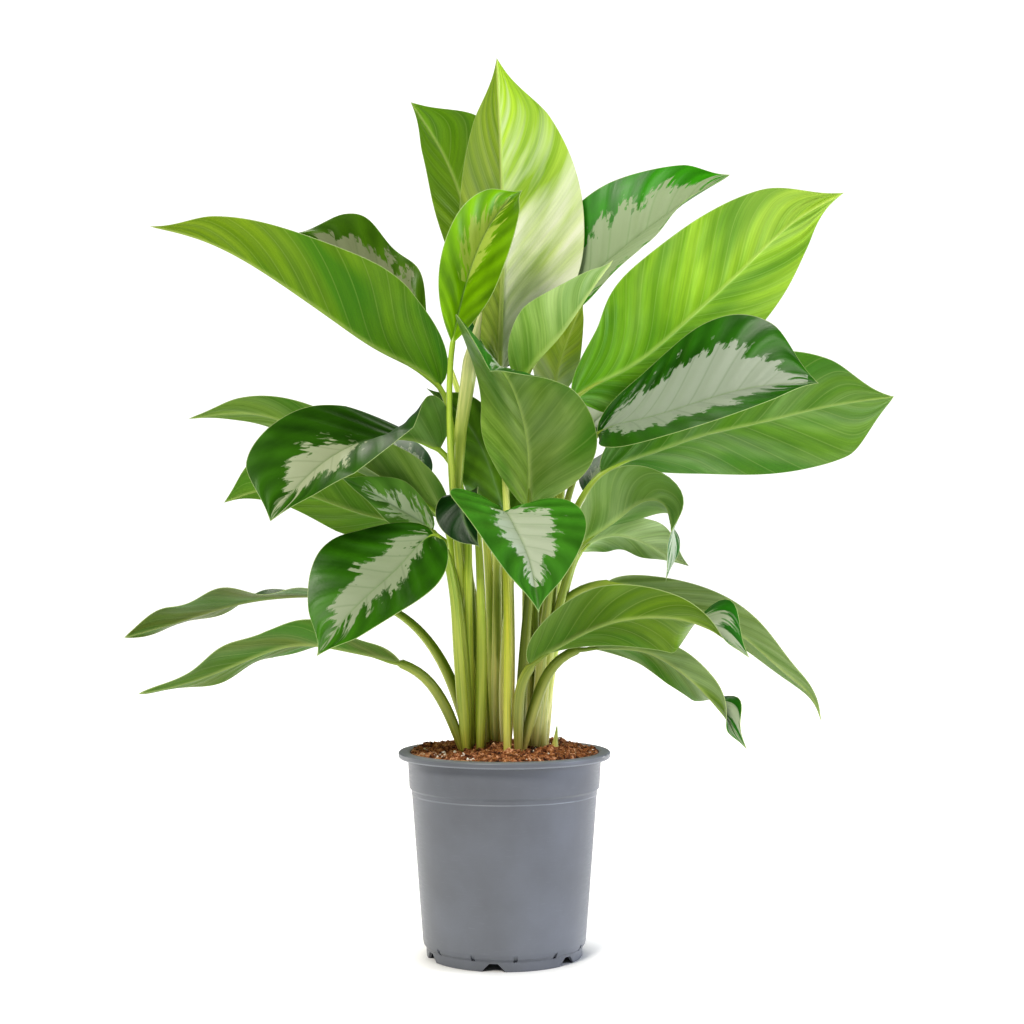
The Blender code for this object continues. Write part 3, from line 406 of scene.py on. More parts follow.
        stalk=[(29, 26, 200), (36, 50, 380), (58, 66, 470)],
        rib=[(76, 76, 512), (118, 112, 556), (160, 152, 580), (196, 188, 588)], face=[(-0.3, -0.4, 0.85)],
        half=(56, 54), left=(15, -15), right=(15, -15)),
    "leaf_rear_centre": dict(
        stalk=[(-10, 32, 200), (-10, 54, 360), (-8, 74, 440)],
        rib=[(-4, 92, 474), (2, 132, 510), (6, 172, 524), (8, 206, 516)], face=[(0.05, -0.35, 0.9)],
        half=(48, 48), left=(15, -15), right=(15, -15)),
    "leaf_rear_low_left": dict(
        stalk=[(-17, 30, 200), (-34, 52, 360), (-60, 72, 440)],
        rib=[(-84, 84, 474), (-128, 116, 506), (-172, 150, 514), (-208, 180, 496)], face=[(0.2, -0.3, 0.9)],
        half=(50, 48), left=(15, -15), right=(15, -15)),
    "leaf_rear_low_right": dict(
        stalk=[(37, 26, 200), (50, 44, 340), (72, 62, 420)],
        rib=[(90, 76, 456), (132, 108, 492), (178, 142, 508), (220, 172, 500)], face=[(-0.2, -0.3, 0.9)],
        half=(52, 50), left=(15, -15), right=(15, -15)),
}
leaves = {name: {**blade, **leaf} for name, leaf in leaves.items()}


# A natural cubic spline through the points, cut where the blade begins: the stalk and the midrib
def leafPaths(leaf, samples=60):
    p = np.array(leaf["stalk"] + leaf["rib"], float)
    t = np.concatenate([[0], np.cumsum(np.linalg.norm(np.diff(p, axis=0), axis=1))])
    n, h = len(p), np.diff(t)
    inner = np.arange(1, n - 1)
    matrix, right = np.eye(n), np.zeros((n, 3))
    matrix[inner, inner - 1], matrix[inner, inner], matrix[inner, inner + 1] = (
        h[:-1], 2 * (h[:-1] + h[1:]), h[1:])
    slope = np.diff(p, axis=0) / h[:, None]
    right[inner] = 6 * np.diff(slope, axis=0)
    m = np.linalg.solve(matrix, right)
    s = np.linspace(0, t[-1], samples * (n - 1) + 1)
    k = np.clip(np.searchsorted(t, s, side="right") - 1, 0, n - 2)
    before, after, hk = (s - t[k])[:, None], (t[k + 1] - s)[:, None], h[k][:, None]
    curve = (m[k] * after ** 3 + m[k + 1] * before ** 3) / (6 * hk)
    curve += (p[k] / hk - m[k] * hk / 6) * after + (p[k + 1] / hk - m[k + 1] * hk / 6) * before
    base = np.searchsorted(s, t[len(leaf["stalk"])])
    return curve[:base + 1], curve[base:]


def even(curve, share):  # points of the curve at these shares of its length
    length = np.concatenate([[0], np.cumsum(np.linalg.norm(np.diff(curve, axis=0), axis=1))])
    return np.stack([np.interp(np.asarray(share) * length[-1], length, curve[:, i]) for i in range(3)], -1)


def lengthOf(curve):  # the sum of the curve's steps
    return np.linalg.norm(np.diff(curve, axis=0), axis=1).sum()


# Half width as a share: 0 at base and tip, 1 at the belly, each end a power curve of its own. The
# last sixth is drawn in softly to a narrow drip tip.
def outline(u, shape):
    belly, base, power, tip = shape
    low = (1 - (1 - np.clip(u / belly, 0, 1)) ** blade["basePower"]) ** base
    past = np.clip((u - belly) / (1 - belly), 0, 1)
    last = np.clip((u - 1 + blade["drip"]) / blade["drip"], 0, 1)
    drawnIn = blade["dripNarrows"] * last * last * (3 - 2 * last)
    return np.where(u < belly, low, (1 - past ** power) ** tip) * (1 - drawnIn)


def keyed(values, u):  # values spread evenly from base to tip
    table = np.atleast_2d(np.asarray(values, float))
    keys = np.linspace(0, 1, len(table))
    return np.stack([np.interp(u, keys, table[:, i]) for i in range(table.shape[1])], -1)


def tipTurn(leaf, u):  # how far a twisted tip has turned, as a share s of its length: 3s^2 - 2s^3
    begins = leaf["twist"][0]
    share = np.clip((u - begins) / (1.001 - begins), 0, 1)
    return share ** 2 * (3 - 2 * share)


# The rib's points, its direction and the upper side's direction, which near the tip turns round the rib
def ribFrame(leaf, rib, u):
    middle = even(rib, u)
    along = unit(even(rib, np.clip(u + 0.01, 0, 1)) - even(rib, np.clip(u - 0.01, 0, 1)))
    face = keyed(leaf["face"], u)
    face = unit(face - (face * along).sum(-1, keepdims=True) * along)
    angle = (math.radians(leaf["twist"][1]) * tipTurn(leaf, u))[:, None]
    return middle, along, face * np.cos(angle) + np.cross(along, face) * np.sin(angle)


# A blade's middle surface: the rib's point, plus the half width carried out along an arc that
# leaves the rib at the fold angle and bends by the curl, plus a sine wave growing to the margin.
# Returns its points, each side's half width in mm, and the grid's u and v.
def bladeSurface(leaf, rib, u, v):
    middle, along, up = ribFrame(leaf, rib, u)
    side = np.cross(along, up)
    gridU, gridV = np.meshgrid(u, v, indexing="ij")
    isLeft, out = gridV < 0, np.abs(gridV)
    half = np.where(isLeft, (leaf["half"][0] * outline(u, leaf["leftShape"]))[:, None],
                    (leaf["half"][1] * outline(u, leaf["rightShape"]))[:, None])
    turning = tipTurn(leaf, u)[:, None]  # a twisted tip is narrower, and folded most where it is edge on
    half = half * (1 - leaf["twistNarrows"] * turning)
    left, right = np.radians(keyed(leaf["left"], u)), np.radians(keyed(leaf["right"], u))
    fold = np.where(isLeft, left[:, :1], right[:, :1]) + leaf["twistFolds"] * np.sin(math.pi * turning)
    curl = np.where(isLeft, left[:, 1:], right[:, 1:])
    chord = half * out * np.sinc(curl * out / turn)
    height, waves, phase = leaf["wave"]
    wave = np.sin(turn * (waves * gridU + phase + np.where(isLeft, 0, 0.37)))
    raised = chord * np.sin(fold + curl * out / 2)
    raised += height * out ** 2 * wave * np.sqrt(np.abs(np.sin(math.pi * gridU)))
    across = chord * np.cos(fold + curl * out / 2) * np.sign(gridV)
    return (middle[:, None] + across[..., None] * side[:, None] + raised[..., None] * up[:, None],
            half, gridU, gridV)


# One leaf blade: two sheets either side of the middle surface, closed along the margin and at both
# ends. Between the side veins it swells by a cosine, here more and there less. Below, the midrib is
# a bell-shaped ridge, exp(-x^2).
def makeBlade(name, leaf, seed, skins):
    rib = leafPaths(leaf)[1]
    length = lengthOf(rib)
    rows = int(np.clip(length / leaf["alongStep"], *leaf["rows"]))
    columns = int(np.clip(max(leaf["half"]) / leaf["acrossStep"], *leaf["columns"]))
    u = np.linspace(0, 1, rows + 1)
    v = np.linspace(-1, 1, 2 * columns + 1)
    v = np.sign(v) * np.abs(v) ** leaf["crowding"]
    points, half, gridU, gridV = bladeSurface(leaf, rib, u, v)
    normal = unit(np.cross(np.gradient(points, axis=1), np.gradient(points, axis=0)))
    normal[0], normal[-1] = normal[1], normal[-2]
    out = np.abs(gridV)
    outMm = out * half
    marginMm = (1 - out) * half
    veins = max(4, round(length / leaf["veinSpacing"]))
    start = gridU - leaf["veinSweep"] * out ** 0.9  # where this point's side vein leaves the midrib
    fade = np.clip(outMm / leaf["flatRib"], 0, 1) * np.clip(marginMm / leaf["flatMargin"], 0, 1)
    least, more = leaf["quiltShare"]
    uneven = least + more * softNoise(veins * start * 0.9 + 7 * seed, out * 1.6 + 3 * (gridV > 0), 5)
    swell = leaf["quilt"] * uneven * fade * -0.5 * np.cos(turn * (veins * start + 0.5 * (gridV > 0)))
    points = points + swell[..., None] * normal
    taper = 1 - leaf["ribTaper"] * gridU
    bell = np.exp(-(outMm / (leaf["ridgeWidth"] * (0.35 + 0.65 * taper))) ** 2)
    ends = np.clip(np.minimum(gridU, 1 - gridU) * rows / 2, 0, 1)
    halfThick = (leaf["thick"] + (leaf["margin"] - leaf["thick"]) * out) / 2 * ends
    groove = leaf["groove"] * np.exp(-(outMm / leaf["grooveWidth"]) ** 2) * taper * ends
    top = points + normal * (halfThick - groove)[..., None]
    below = points - normal * (halfThick + leaf["ridge"] * taper * bell * ends)[..., None]

    count = (rows - 1) * (2 * columns + 1)
    number = np.zeros((rows + 1, 2 * columns + 1), int)
    number[1:-1] = 2 + np.arange(count).reshape(rows - 1, -1)
    number[0], number[-1] = 0, 1
    numberBelow = np.where(number > 1, number + count, number)
    margin = np.concatenate([gridTriangles(np.stack([number[:, 0], numberBelow[:, 0]], -1)),
                             gridTriangles(np.stack([numberBelow[:, -1], number[:, -1]], -1))])
    sheets = [gridTriangles(number[:, ::-1]), gridTriangles(numberBelow), margin]
    triangles = np.concatenate(sheets)
    faceMaterial = np.repeat([0, 1, 1], [len(sheet) for sheet in sheets])

    def bothSides(above, under=None):  # a value for each point: base, tip, upper sheet, lower sheet
        under = above if under is None else under
        ends = np.stack([above[0, columns], above[-1, columns]])
        return np.concatenate([ends, above[1:-1].reshape(count, *above.shape[2:]),
                               under[1:-1].reshape(count, *under.shape[2:])])

    def gradient(colours):  # from the base's colour to the tip's: low + (high - low) u
        low, high = (np.array(linear(colour)) for colour in colours)
        return low + (high - low) * gridU[..., None]

    leftShare, rightShare, begins, stops = leaf["silver"]
    reach = (np.clip((gridU - begins) / leaf["opening"], 0, 1) ** 0.7
             * np.clip((stops - gridU) / leaf["closing"], 0, 1) ** 0.8)
    marked = np.where(gridV < 0, leftShare, rightShare) * reach * half - outMm
    unmarked = -60  # mm outside the marking: too far for any finger of it
    marked = np.where((gridU > begins) & (gridU < stops) & (leftShare + rightShare > 0), marked, unmarked)
    creamed = (np.where(gridV < 0, leaf["cream"][0], leaf["cream"][1])
               * (1 - leaf["creamFades"] * gridU ** 1.3))
    # each half's tone is painted brighter or darker by halves: a painted shade of the fold, darker on the
    # half turned from the light
    brightness = np.where(gridV < 0, leaf["halves"][0], leaf["halves"][1])[..., None]
    veinMm = (start * veins + 0.5 * (gridV > 0)) * leaf["mapStep"]
    seeded = np.full_like(gridU, 13.7 * seed)
    attributes = {
        "tone": bothSides(gradient(leaf["upper"]) * brightness, gradient(leaf["under"]) * brightness),
        "markTone": bothSides(gradient([leaf["mark"]] * 2), gradient([leaf["creamColour"]] * 2)),
        "veinMap": bothSides(np.stack([veinMm, outMm * np.where(gridV < 0, 1, -1), seeded], -1)),
        "marked": bothSides(marked, creamed),
        "marginMm": bothSides(marginMm * ends),
        # the share of painted grey sheen on the underside
        "paintedSheenShare": bothSides(np.full_like(gridU, leaf["paintedSheen"])),
        "ribShare": bothSides(np.exp(-(outMm / leaf["paleRib"]) ** 2), bell * leaf["ribShows"])}
    piece = meshPiece(name + "_blade", bothSides(top, below), triangles, skins, attributes, faceMaterial)
    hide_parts(name)
    return piece


# What both skins of a blade read: its attributes, the distance to the nearest side vein, one every
# 20 mm of the map, the finest veins, a zigzag of 4 mm, and soft noises. Each noise has features so
# many mm wide across the veins and so many long beside them, and a level of detail.
def leafMaps(tree, noises):
    tone, markTone, veinMap, marked, rib, margin = (
        addNode(tree, "Attribute", attribute_name=name)
        for name in ("tone", "markTone", "veinMap", "marked", "ribShare", "marginMm"))
    place = veinMap.outputs["Vector"]
    sideways = addNode(tree, "SeparateXYZ", {0: place})
    nearVein = compute(tree, "PINGPONG", sideways, 10)
    nearFine = compute(tree, "PINGPONG", sideways, 2)
    fine = remap(tree, nearFine, 0, 2, 1, 0)
    soft = []
    for wide, long, detail in noises:
        soft.append(stretchedNoise(tree, place, (1 / wide, 1 / long, 1), detail))
    return (tone, markTone, place, marked.outputs["Fac"], rib.outputs["Fac"], margin.outputs["Fac"],
            sideways, nearVein, fine, *soft)


# The upper side of an aglaonema leaf: live tissue that grew a smooth coat of wax, so it shines
# softly like satin. The silver marking runs out in jagged fingers along the side veins.
def upperSkin():
    made, tree = newMaterial("Aglaonema leaf, waxy upper side")
    (tone, markTone, place, marked, rib, margin, sideways, nearVein, fine,
     warp, spots, patchy) = leafMaps(tree, ((9, 14, 1), (4, 5, 1), (30, 30, 3)))
    # the silver stops on the finest veins: strips 3.6 mm wide, each of its own length, bent by a
    # slow warp. Then teeth 3 by 6 mm and lobes 16 by 26 mm.
    warped = addNode(tree, "VectorMath", {0: warp.outputs["Color"], 1: (7, 5, 0), 2: place},
                     operation="MULTIPLY_ADD")
    strips = addNode(tree, "VectorMath", {0: warped, 1: (3.6, 0.01, 0.01)}, operation="SNAP")
    edge = marked
    for source, width, long, swing in ((strips, 5.2, 15, 30), (place, 3, 6, 5), (place, 16, 26, 24)):
        noise = stretchedNoise(tree, source, (1 / width, 1 / long, 1), 0)
        swung = compute(tree, "ADD", noise, -0.5)
        edge = compute(tree, "MULTIPLY_ADD", swung, swing, edge)
    spotted = remap(tree, spots, 0.3, 0.7, -4, 4)  # specks 4 by 5 mm beside it
    edge = compute(tree, "ADD", edge, spotted)
    silver = remap(tree, edge, -0.4, 0.5)
    halo = remap(tree, edge, -3.4, -3, 0, 0.28)  # half-silvered flecks beside it
    # painted shade of the swelling: the green is painted paler midway between the side veins and darker
    # beside them, and varies in patches of 30 mm
    vein = remap(tree, nearVein, 0, 1.6, 1, 0)
    between = remap(tree, nearVein, 0, 10, -0.12, 0.12, interpolation_type="SMOOTHSTEP")
    swollen = compute(tree, "ADD", between, patchy)
    shade = remap(tree, swollen, 0.25, 0.75)
    darker = mixColours(tree, shade, (0.62, 0.66, 0.6, 1), (1.42, 1.34, 1.42, 1))
    green = mixColours(tree, 1, tone, darker, blend_type="MULTIPLY")
    silverVein = compute(tree, "MULTIPLY", vein, 0.2)
    silverTone = mixColours(tree, silverVein, markTone, green)
    ribMix = compute(tree, "MULTIPLY", rib, 0.5)
    rim = remap(tree, margin, 0.1, 0.9, 0.75, 0)
    colour = green  # each layer is laid over the last by its share
    for share, layer in ((halo, markTone), (silver, silverTone), (ribMix, linear("#7f9a68")),
                         (rim, linear("#b9c98a"))):
        colour = mixColours(tree, share, colour, layer)
    # the wax is a little duller on the silver, and in patches
    gloss = remap(tree, patchy, 0.3, 0.7, 0.28, 0.42)
    dull = compute(tree, "MULTIPLY_ADD", silver, 0.07, gloss)
    pores = addNoise(tree, place, 0.9, 2)  # cells 1 mm, drawn coarse
    lined = compute(tree, "MULTIPLY_ADD", fine, 0.35, pores)
    # shallow furrows on veins of the second order, 10 mm apart and wandering
    wander = compute(tree, "MULTIPLY_ADD", patchy, 9, sideways)
    furrow = compute(tree, "PINGPONG", wander, 5)
    rounded = remap(tree, furrow, 0, 4, 0, 1.1, interpolation_type="SMOOTHSTEP")
    height = compute(tree, "ADD", rounded, lined)
    surfaced(tree, height, 0.32, 0.00022, {"Base Color": colour, "Roughness": dull, "IOR": 1.42,
                                           "Specular IOR Level": 0.24})
    return made


# The underside: it grew no wax, so it is matt and paler, with the midrib and side veins standing
# out lighter. Young leaves carry cream streaks between the veins.
def underSkin():
    made, tree = newMaterial("Aglaonema leaf, matt underside")
    (tone, creamTone, place, creamShare, rib, margin, _, nearVein, fine,
     patchy, paintedSheen, grained, streaks) = leafMaps(tree, ((26, 60, 3), (35, 90, 2), (1.8, 30, 1), (24, 70, 3)))
    vein = remap(tree, nearVein, 0, 1.1, 1, 0)
    # painted shade of the swelling: the green is painted darker beside the side veins and paler midway
    # between them, mixed with patches of tone that differ at random
    between = remap(tree, nearVein, 0, 10, interpolation_type="SMOOTHSTEP")
    swollen = compute(tree, "MULTIPLY_ADD", between, 0.2, patchy)
    shade = remap(tree, swollen, 0.38, 0.85)
    shaded = mixColours(tree, shade, (0.66, 0.74, 0.5, 1), (1.28, 1.2, 1.35, 1))
    green = mixColours(tree, 1, tone, shaded, blend_type="MULTIPLY")
    # a painted greyish sheen in patches of 35 by 90 mm, and darker green in patches of 60 mm
    paintedSheenShare = addNode(tree, "Attribute", attribute_name="paintedSheenShare").outputs["Fac"]
    paintedSheenPatch = remap(tree, paintedSheen, 0.42, 0.72, 0, 0.5)
    paintedSheenMix = compute(tree, "MULTIPLY", paintedSheenPatch, paintedSheenShare)
    deep = addNoise(tree, place, 1 / 60, 1)
    deepMix = remap(tree, deep, 0.52, 0.3, 0, 0.7)
    clear = compute(tree, "SUBTRACT", 1.05, creamShare, use_clamp=True)
    deepShare = compute(tree, "MULTIPLY", deepMix, clear)
    # the finest veins, 1 to 2 mm apart, are a little darker
    fineMix = remap(tree, grained, 0.42, 0.7, 0, 0.22)
    # cream streaks 24 by 70 mm along the side veins
    streaked = compute(tree, "ADD", streaks, creamShare)
    creamMix = remap(tree, streaked, 0.9, 1.3, 0, 0.9)
    veinMix = compute(tree, "MULTIPLY", vein, 0.22)
    paler = mixColours(tree, 0.42, tone, linear("#e2ee9a"))
    ribMix = compute(tree, "MULTIPLY", rib, 0.6)
    rim = remap(tree, margin, 0.1, 0.9, 0.6, 0)
    colour = green
    for share, layer in ((paintedSheenMix, linear("#b4c79c")), (deepShare, (0.045, 0.19, 0.008, 1)),
                         (fineMix, (0.05, 0.13, 0.01, 1)), (creamMix, creamTone), (veinMix, paler),
                         (ribMix, paler), (rim, linear("#c0cf90"))):
        colour = mixColours(tree, share, colour, layer)
    pores = addNoise(tree, place, 0.8, 2)
    lined = compute(tree, "MULTIPLY_ADD", fine, 0.5, pores)
    gloss = remap(tree, patchy, 0.3, 0.7, 0.3, 0.46)
    surfaced(tree, lined, 0.6, 0.0003, {"Base Color": colour, "Roughness": gloss, "IOR": 1.4,
                                        "Specular IOR Level": 0.18})
    return made


# Stalks and canes
stalk = dict(
    foot=4.0, neck=2.7, sheath=2.2, sheathFrom=20, sheathLong=60,  # mm, as in the part
    footTop=203.5, below=16,  # mm: the stalk starts this far down in the soil
    sides=16, step=8,  # faces round it, and mm between rings
    into=0.12, thins=0.55, sinks=0.9, sinksIn=0.05,  # shares: how far it runs on under the blade, how
    # much thinner it ends, and by how much of its radius it sinks in, over this part of the midrib
    shaded=0.8, shade=(0.75, 0.65, 0.95, 0),  # painted shade: how much red, green and blue are lost inside the clump
    facingOut=0.35,  # the cosine past which its skin faces outward and loses nothing
    shadedBelow=470, shadedFade=120,  # mm: only below this height, fading in over this much
    ownLow=0.8, ownRange=0.4, ownStep=0.618,  # each stalk is a little lighter or darker than the next
    oldShare=0.3, oldBelow=226, oldFade=20,  # old sheaths, brown near the soil
    low="#b2c046", middle="#bacb5a", high="#8db43a", oldSheath="#a1854a",
    tonesAt=(0, 0.45, 1),  # shares of its length for these three colours
    caneRings=40, caneSides=24, scarHigh=0.9, scarWide=2, scarDark=1.5,  # a cane's grid, mm of its scars
    streakLong=40)  # mm of the material's map along it
shoots = {
    "shoot_left": dict(
        leaves=["leaf_young_centre", "leaf_high_left", "leaf_silver_left", "leaf_mid_left",
                "leaf_small_left", "leaf_long_left", "leaf_low_silver_left", "leaf_low_left_upper",
                "leaf_low_left_lower", "leaf_front_shade"],
        canes=[dict(points=[(-24, -8, 190), (-24, -8, 241)], radii=(6, 6), low="#6f7a34", high="#3a2a18"),
               dict(points=[(-45, -12, 400), (-46, -8, 460), (-44, -3, 520), (-34, 2, 590), (-24, 4, 640)],
                    radii=(3, 3.5, 6.5, 8, 1.5), low="#a9bc58", high="#eef3bc")]),
    "shoot_centre": dict(
        leaves=["leaf_tall_centre", "leaf_tall_left", "leaf_back_left", "leaf_centre_shade",
                "leaf_rear_upper", "leaf_rear_centre", "leaf_rear_low_left"],
        canes=[], tones=("#e8eaa2", "#dde48a", "#b0ca5a")),
    "shoot_right": dict(
        leaves=["leaf_high_right", "leaf_slim_right", "leaf_young_right", "leaf_broad_right",
                "leaf_silver_right", "leaf_far_right", "leaf_arched_right", "leaf_small_right",
                "leaf_low_far_right", "leaf_rear_right", "leaf_rear_low_right"],
        tones=("#cfd088", "#a8b856", "#829f36"),
        canes=[dict(points=[(32, 16, 190), (32, 17, 250), (33, 18, 310)], radii=(9, 8.5, 5), low="#c4ab7c",
                    high="#b4b070", rings=(206, 222, 243, 262))]),
    "shoot_front_right": dict(
        leaves=["leaf_centre_fold", "leaf_low_right", "leaf_low_slim_right"], canes=[],
        tones=("#989854", "#7f8c3a", "#708c30")),
    "shoot_front": dict(leaves=["leaf_front_silver"], canes=[], tones=("#b4b85c", "#a8ae38", "#8fa830")),
    "shoot_spike": dict(leaves=[], canes=[dict(
        points=[(50, -15, 190), (50, -15, 208), (52, -16, 227)], radii=(3.6, 3.2, 0.5), low="#c9cf7a",
        high="#7fa53c")]),
}


# A tube: rings of the given radii round a path, closed to a point at both ends. The rings start
# from the path's own plane, so it never twists. Returns points, triangles, and each point's
# share along the path and angle.
def tube(path, radii, sides):
    tangent = unit(np.gradient(path, axis=0))
    plane = np.linalg.svd(path - path.mean(0))[2][2]
    side = unit(plane - (tangent @ plane)[:, None] * tangent)
    up = np.cross(tangent, side)
    angle = np.linspace(0, turn, sides, endpoint=False)
    ring = np.cos(angle)[:, None] * side[:, None] + np.sin(angle)[:, None] * up[:, None]
    rings = path[:, None] + np.reshape(radii, (len(path), -1, 1)) * ring
    share = np.repeat(np.linspace(0, 1, len(path)), sides)
    return (*closedRings(path[0], rings, path[-1], -1),
            np.concatenate([[0, 1], share]), np.concatenate([[0, 0], np.tile(angle, len(path))]))


# A stalk: a tube along the spline from the soil, swollen by its sheath as x e^(1 - x), that goes
# on under the blade and sinks into the midrib
def stalkTube(leaf):
    look = {**stalk, **leaf}
    path, rib = leafPaths(leaf)
    path = np.concatenate([[[*leaf["stalk"][0][:2], look["footTop"] - look["below"]]], path])
    length = lengthOf(path)
    share = np.linspace(0, 1, int(length / look["step"]))
    radii = look["foot"] + (look["neck"] - look["foot"]) * share
    up = np.clip(share * length - look["sheathFrom"], 0, None) / look["sheathLong"]
    radii = radii + look["sheath"] * up * np.exp(1 - up)
    u = np.linspace(0, look["into"], 9)[1:]
    middle, _, face = ribFrame(leaf, rib, u)
    ribRadii = look["neck"] * (1 - look["thins"] * u / look["into"])
    sunk = np.clip(u / look["sinksIn"], 0, 1)
    middle = middle - face * (ribRadii * look["sinks"] * sunk)[:, None]
    return np.concatenate([even(path, share), middle]), np.concatenate([radii, ribRadii]), length


# A shoot: all its stalks and canes in one mesh. A stalk's colour is painted darker where its skin faces the
# middle of the clump, a painted shade between the stalks, by the dot product of the two directions.
def makeShoot(name, shoot, skin):
    found, base = [], 0
    for number, leaf in enumerate(shoot["leaves"]):
        path, radii, length = stalkTube(leaves[leaf])
        points, triangles, share, angle = tube(path, radii, stalk["sides"])
        tones = shoot.get("tones", (stalk["low"], stalk["middle"], stalk["high"]))
        colours = [np.array(linear(hexTone)[:3]) * leaves[leaf]["stalkShade"] for hexTone in tones]
        found.append((points, triangles, share, angle, colours, length, number, ()))
    for number, cane in enumerate(shoot["canes"]):
        shape, radii = np.array(cane["points"], float), np.array(cane["radii"], float)
        share = np.linspace(0, 1, stalk["caneRings"])
        path = even(shape, share)
        keys = np.cumsum([0, *np.linalg.norm(np.diff(shape, axis=0), axis=1)])
        radii = np.interp(share, keys / keys[-1], radii)
        for height in cane.get("rings", ()):
            radii = radii + stalk["scarHigh"] * np.exp(-((path[:, 2] - height) / stalk["scarWide"]) ** 2)
        points, triangles, share, angle = tube(path, radii, stalk["caneSides"])
        colours = [linear(cane[key])[:3] for key in ("low", "low", "high")]
        found.append((points, triangles, share, angle, colours, keys[-1], 20 + number,
                      cane.get("rings", ())))
    allPoints, allTriangles, tone, stalkMap, scar = [], [], [], [], []
    centre = np.mean([leaves[leaf]["stalk"][0][:2] for leaf in shoot["leaves"]] or [(0, 0)], 0)
    for points, triangles, share, angle, colours, length, number, rings in found:
        allPoints.append(points)
        allTriangles.append(triangles + base)
        base += len(points)
        plain = np.stack([np.interp(share, stalk["tonesAt"], [colour[i] for colour in colours])
                          for i in range(3)] + [share * 0 + 1], -1)
        outward = unit(points[:, :2] - centre)
        ring = points[2:].reshape(-1, len(np.unique(angle)), 3)
        facing = np.concatenate([[0, 0], (unit(ring - ring.mean(1, keepdims=True)).reshape(-1, 3)[:, :2]
                                          * outward[2:]).sum(-1)])
        # painted shade between the stalks, low down and on the side that faces the clump's middle
        low = np.clip((stalk["shadedBelow"] - points[:, 2]) / stalk["shadedFade"], 0, 1)
        inner = (stalk["shaded"] * np.clip(stalk["facingOut"] - facing, 0, 1) * low
                 * (len(shoot["leaves"]) > 1))
        own = stalk["ownLow"] + stalk["ownRange"] * ((0.55 + number * stalk["ownStep"]) % 1)
        plain = plain * (1 - inner[:, None] * np.array(stalk["shade"])) * np.array([own, own, own, 1])
        foot = (stalk["oldShare"]
                * np.clip((stalk["oldBelow"] - points[:, 2]) / stalk["oldFade"], 0, 1)[:, None])
        tone.append(plain * (1 - foot) + np.array(linear(stalk["oldSheath"])) * foot)
        stalkMap.append(np.stack([np.cos(angle), np.sin(angle),
                                  share * length / stalk["streakLong"] + 9 * number], -1))
        scar.append(sum((np.exp(-((points[:, 2] - height) / stalk["scarDark"]) ** 2) for height in rings),
                        share * 0))
    piece = meshPiece(name + "_stalks", np.concatenate(allPoints), np.concatenate(allTriangles), [skin],
                      {"tone": np.concatenate(tone), "stalkMap": np.concatenate(stalkMap),
                       "scar": np.concatenate(scar)})
    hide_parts(name)
    return piece


# A leaf stalk: it grew fleshy and smooth, so it is satin and pale low down, where its sheath wraps
# it, with faint lengthwise streaks 1.5 mm wide and some 60 mm long
def stalkSkin():
    made, tree = newMaterial("Aglaonema stalk, smooth and fleshy")
    tone = addNode(tree, "Attribute", attribute_name="tone")
    place = addNode(tree, "Attribute", attribute_name="stalkMap").outputs["Vector"]
    scar = addNode(tree, "Attribute", attribute_name="scar").outputs["Fac"]
    streaks = stretchedNoise(tree, place, (2.4, 2.4, 0.6), 3)
    shade = remap(tree, streaks, 0.3, 0.7)
    shaded = mixColours(tree, shade, (0.8, 0.88, 0.68, 1), (1.5, 1.32, 1.45, 1))
    green = mixColours(tree, 1, tone, shaded, blend_type="MULTIPLY")
    scarMix = compute(tree, "MULTIPLY", scar, 0.85)
    scarred = mixColours(tree, scarMix, green, linear("#6f5a32"))
    gloss = remap(tree, streaks, 0.3, 0.7, 0.26, 0.4)
    surfaced(tree, streaks, 0.3, 0.0003, {"Base Color": scarred, "Roughness": gloss, "IOR": 1.42})
    return made


# The pot, in mm: radius and height up the inside, over the rim, down the outside, under the floor
pot = dict(
    profile=[(0, 11), (76.5, 11), (78.2, 14), (90.3, 162), (92.6, 166), (94.2, 200.7), (97, 201.5),
             (104, 201.5), (105.5, 200), (105.5, 196.5), (104.5, 195), (96.2, 194.5), (94.6, 165.8),
             (92.4, 163.5), (92.1, 159.6), (92.35, 159.1), (91.95, 158.4), (81, 16), (80, 12), (78.4, 10.4),
             (77.6, 9.2), (77, 0), (74, 0), (74, 8), (0, 8)],
    rounding=0.5,  # mm radius of each moulded edge
    steps=240, rise=6,  # faces round it, and mm between rings at most
    notches=6, notchTurn=-7.5, notchWidth=23, notchTop=8, notchHeight=7.6,
    ringRadius=77, ringInside=73, ringTop=8.5,  # mm: the foot ring that the notches cut
    slots=12, slotTurn=8, slotWidth=3.4, slotLow=9.4, slotHigh=12.6, slotDeep=2.2, slotInside=76,
    slotEdge=0.15,  # a slot's sloping side, as a share of its half width
    lipTop=(199, 201), lipEdge=(195.6, 0.9), stepEdge=(159.4, 0.6),  # mm: where pale is painted, as painted light on the lip's top and painted highlight lines
    grey="#606369", wearAndPaintedHighlight="#6a6e76")


# Each corner of the profile cut back and bridged by a short quadratic curve
def roundedProfile(profile, rounding):
    p = np.array(profile, float)
    edge = np.diff(p, axis=0)
    length = np.linalg.norm(edge, axis=1, keepdims=True)
    cut = np.minimum(rounding, 0.35 * np.minimum(length[:-1], length[1:]))
    before, after = p[1:-1] - edge[:-1] / length[:-1] * cut, p[1:-1] + edge[1:] / length[1:] * cut
    t = np.linspace(0, 1, 5)[None, :, None]
    arcs = before[:, None] * (1 - t) ** 2 + 2 * p[1:-1][:, None] * t * (1 - t) + after[:, None] * t ** 2
    return np.concatenate([p[:1], arcs.reshape(-1, 2), p[-1:]])


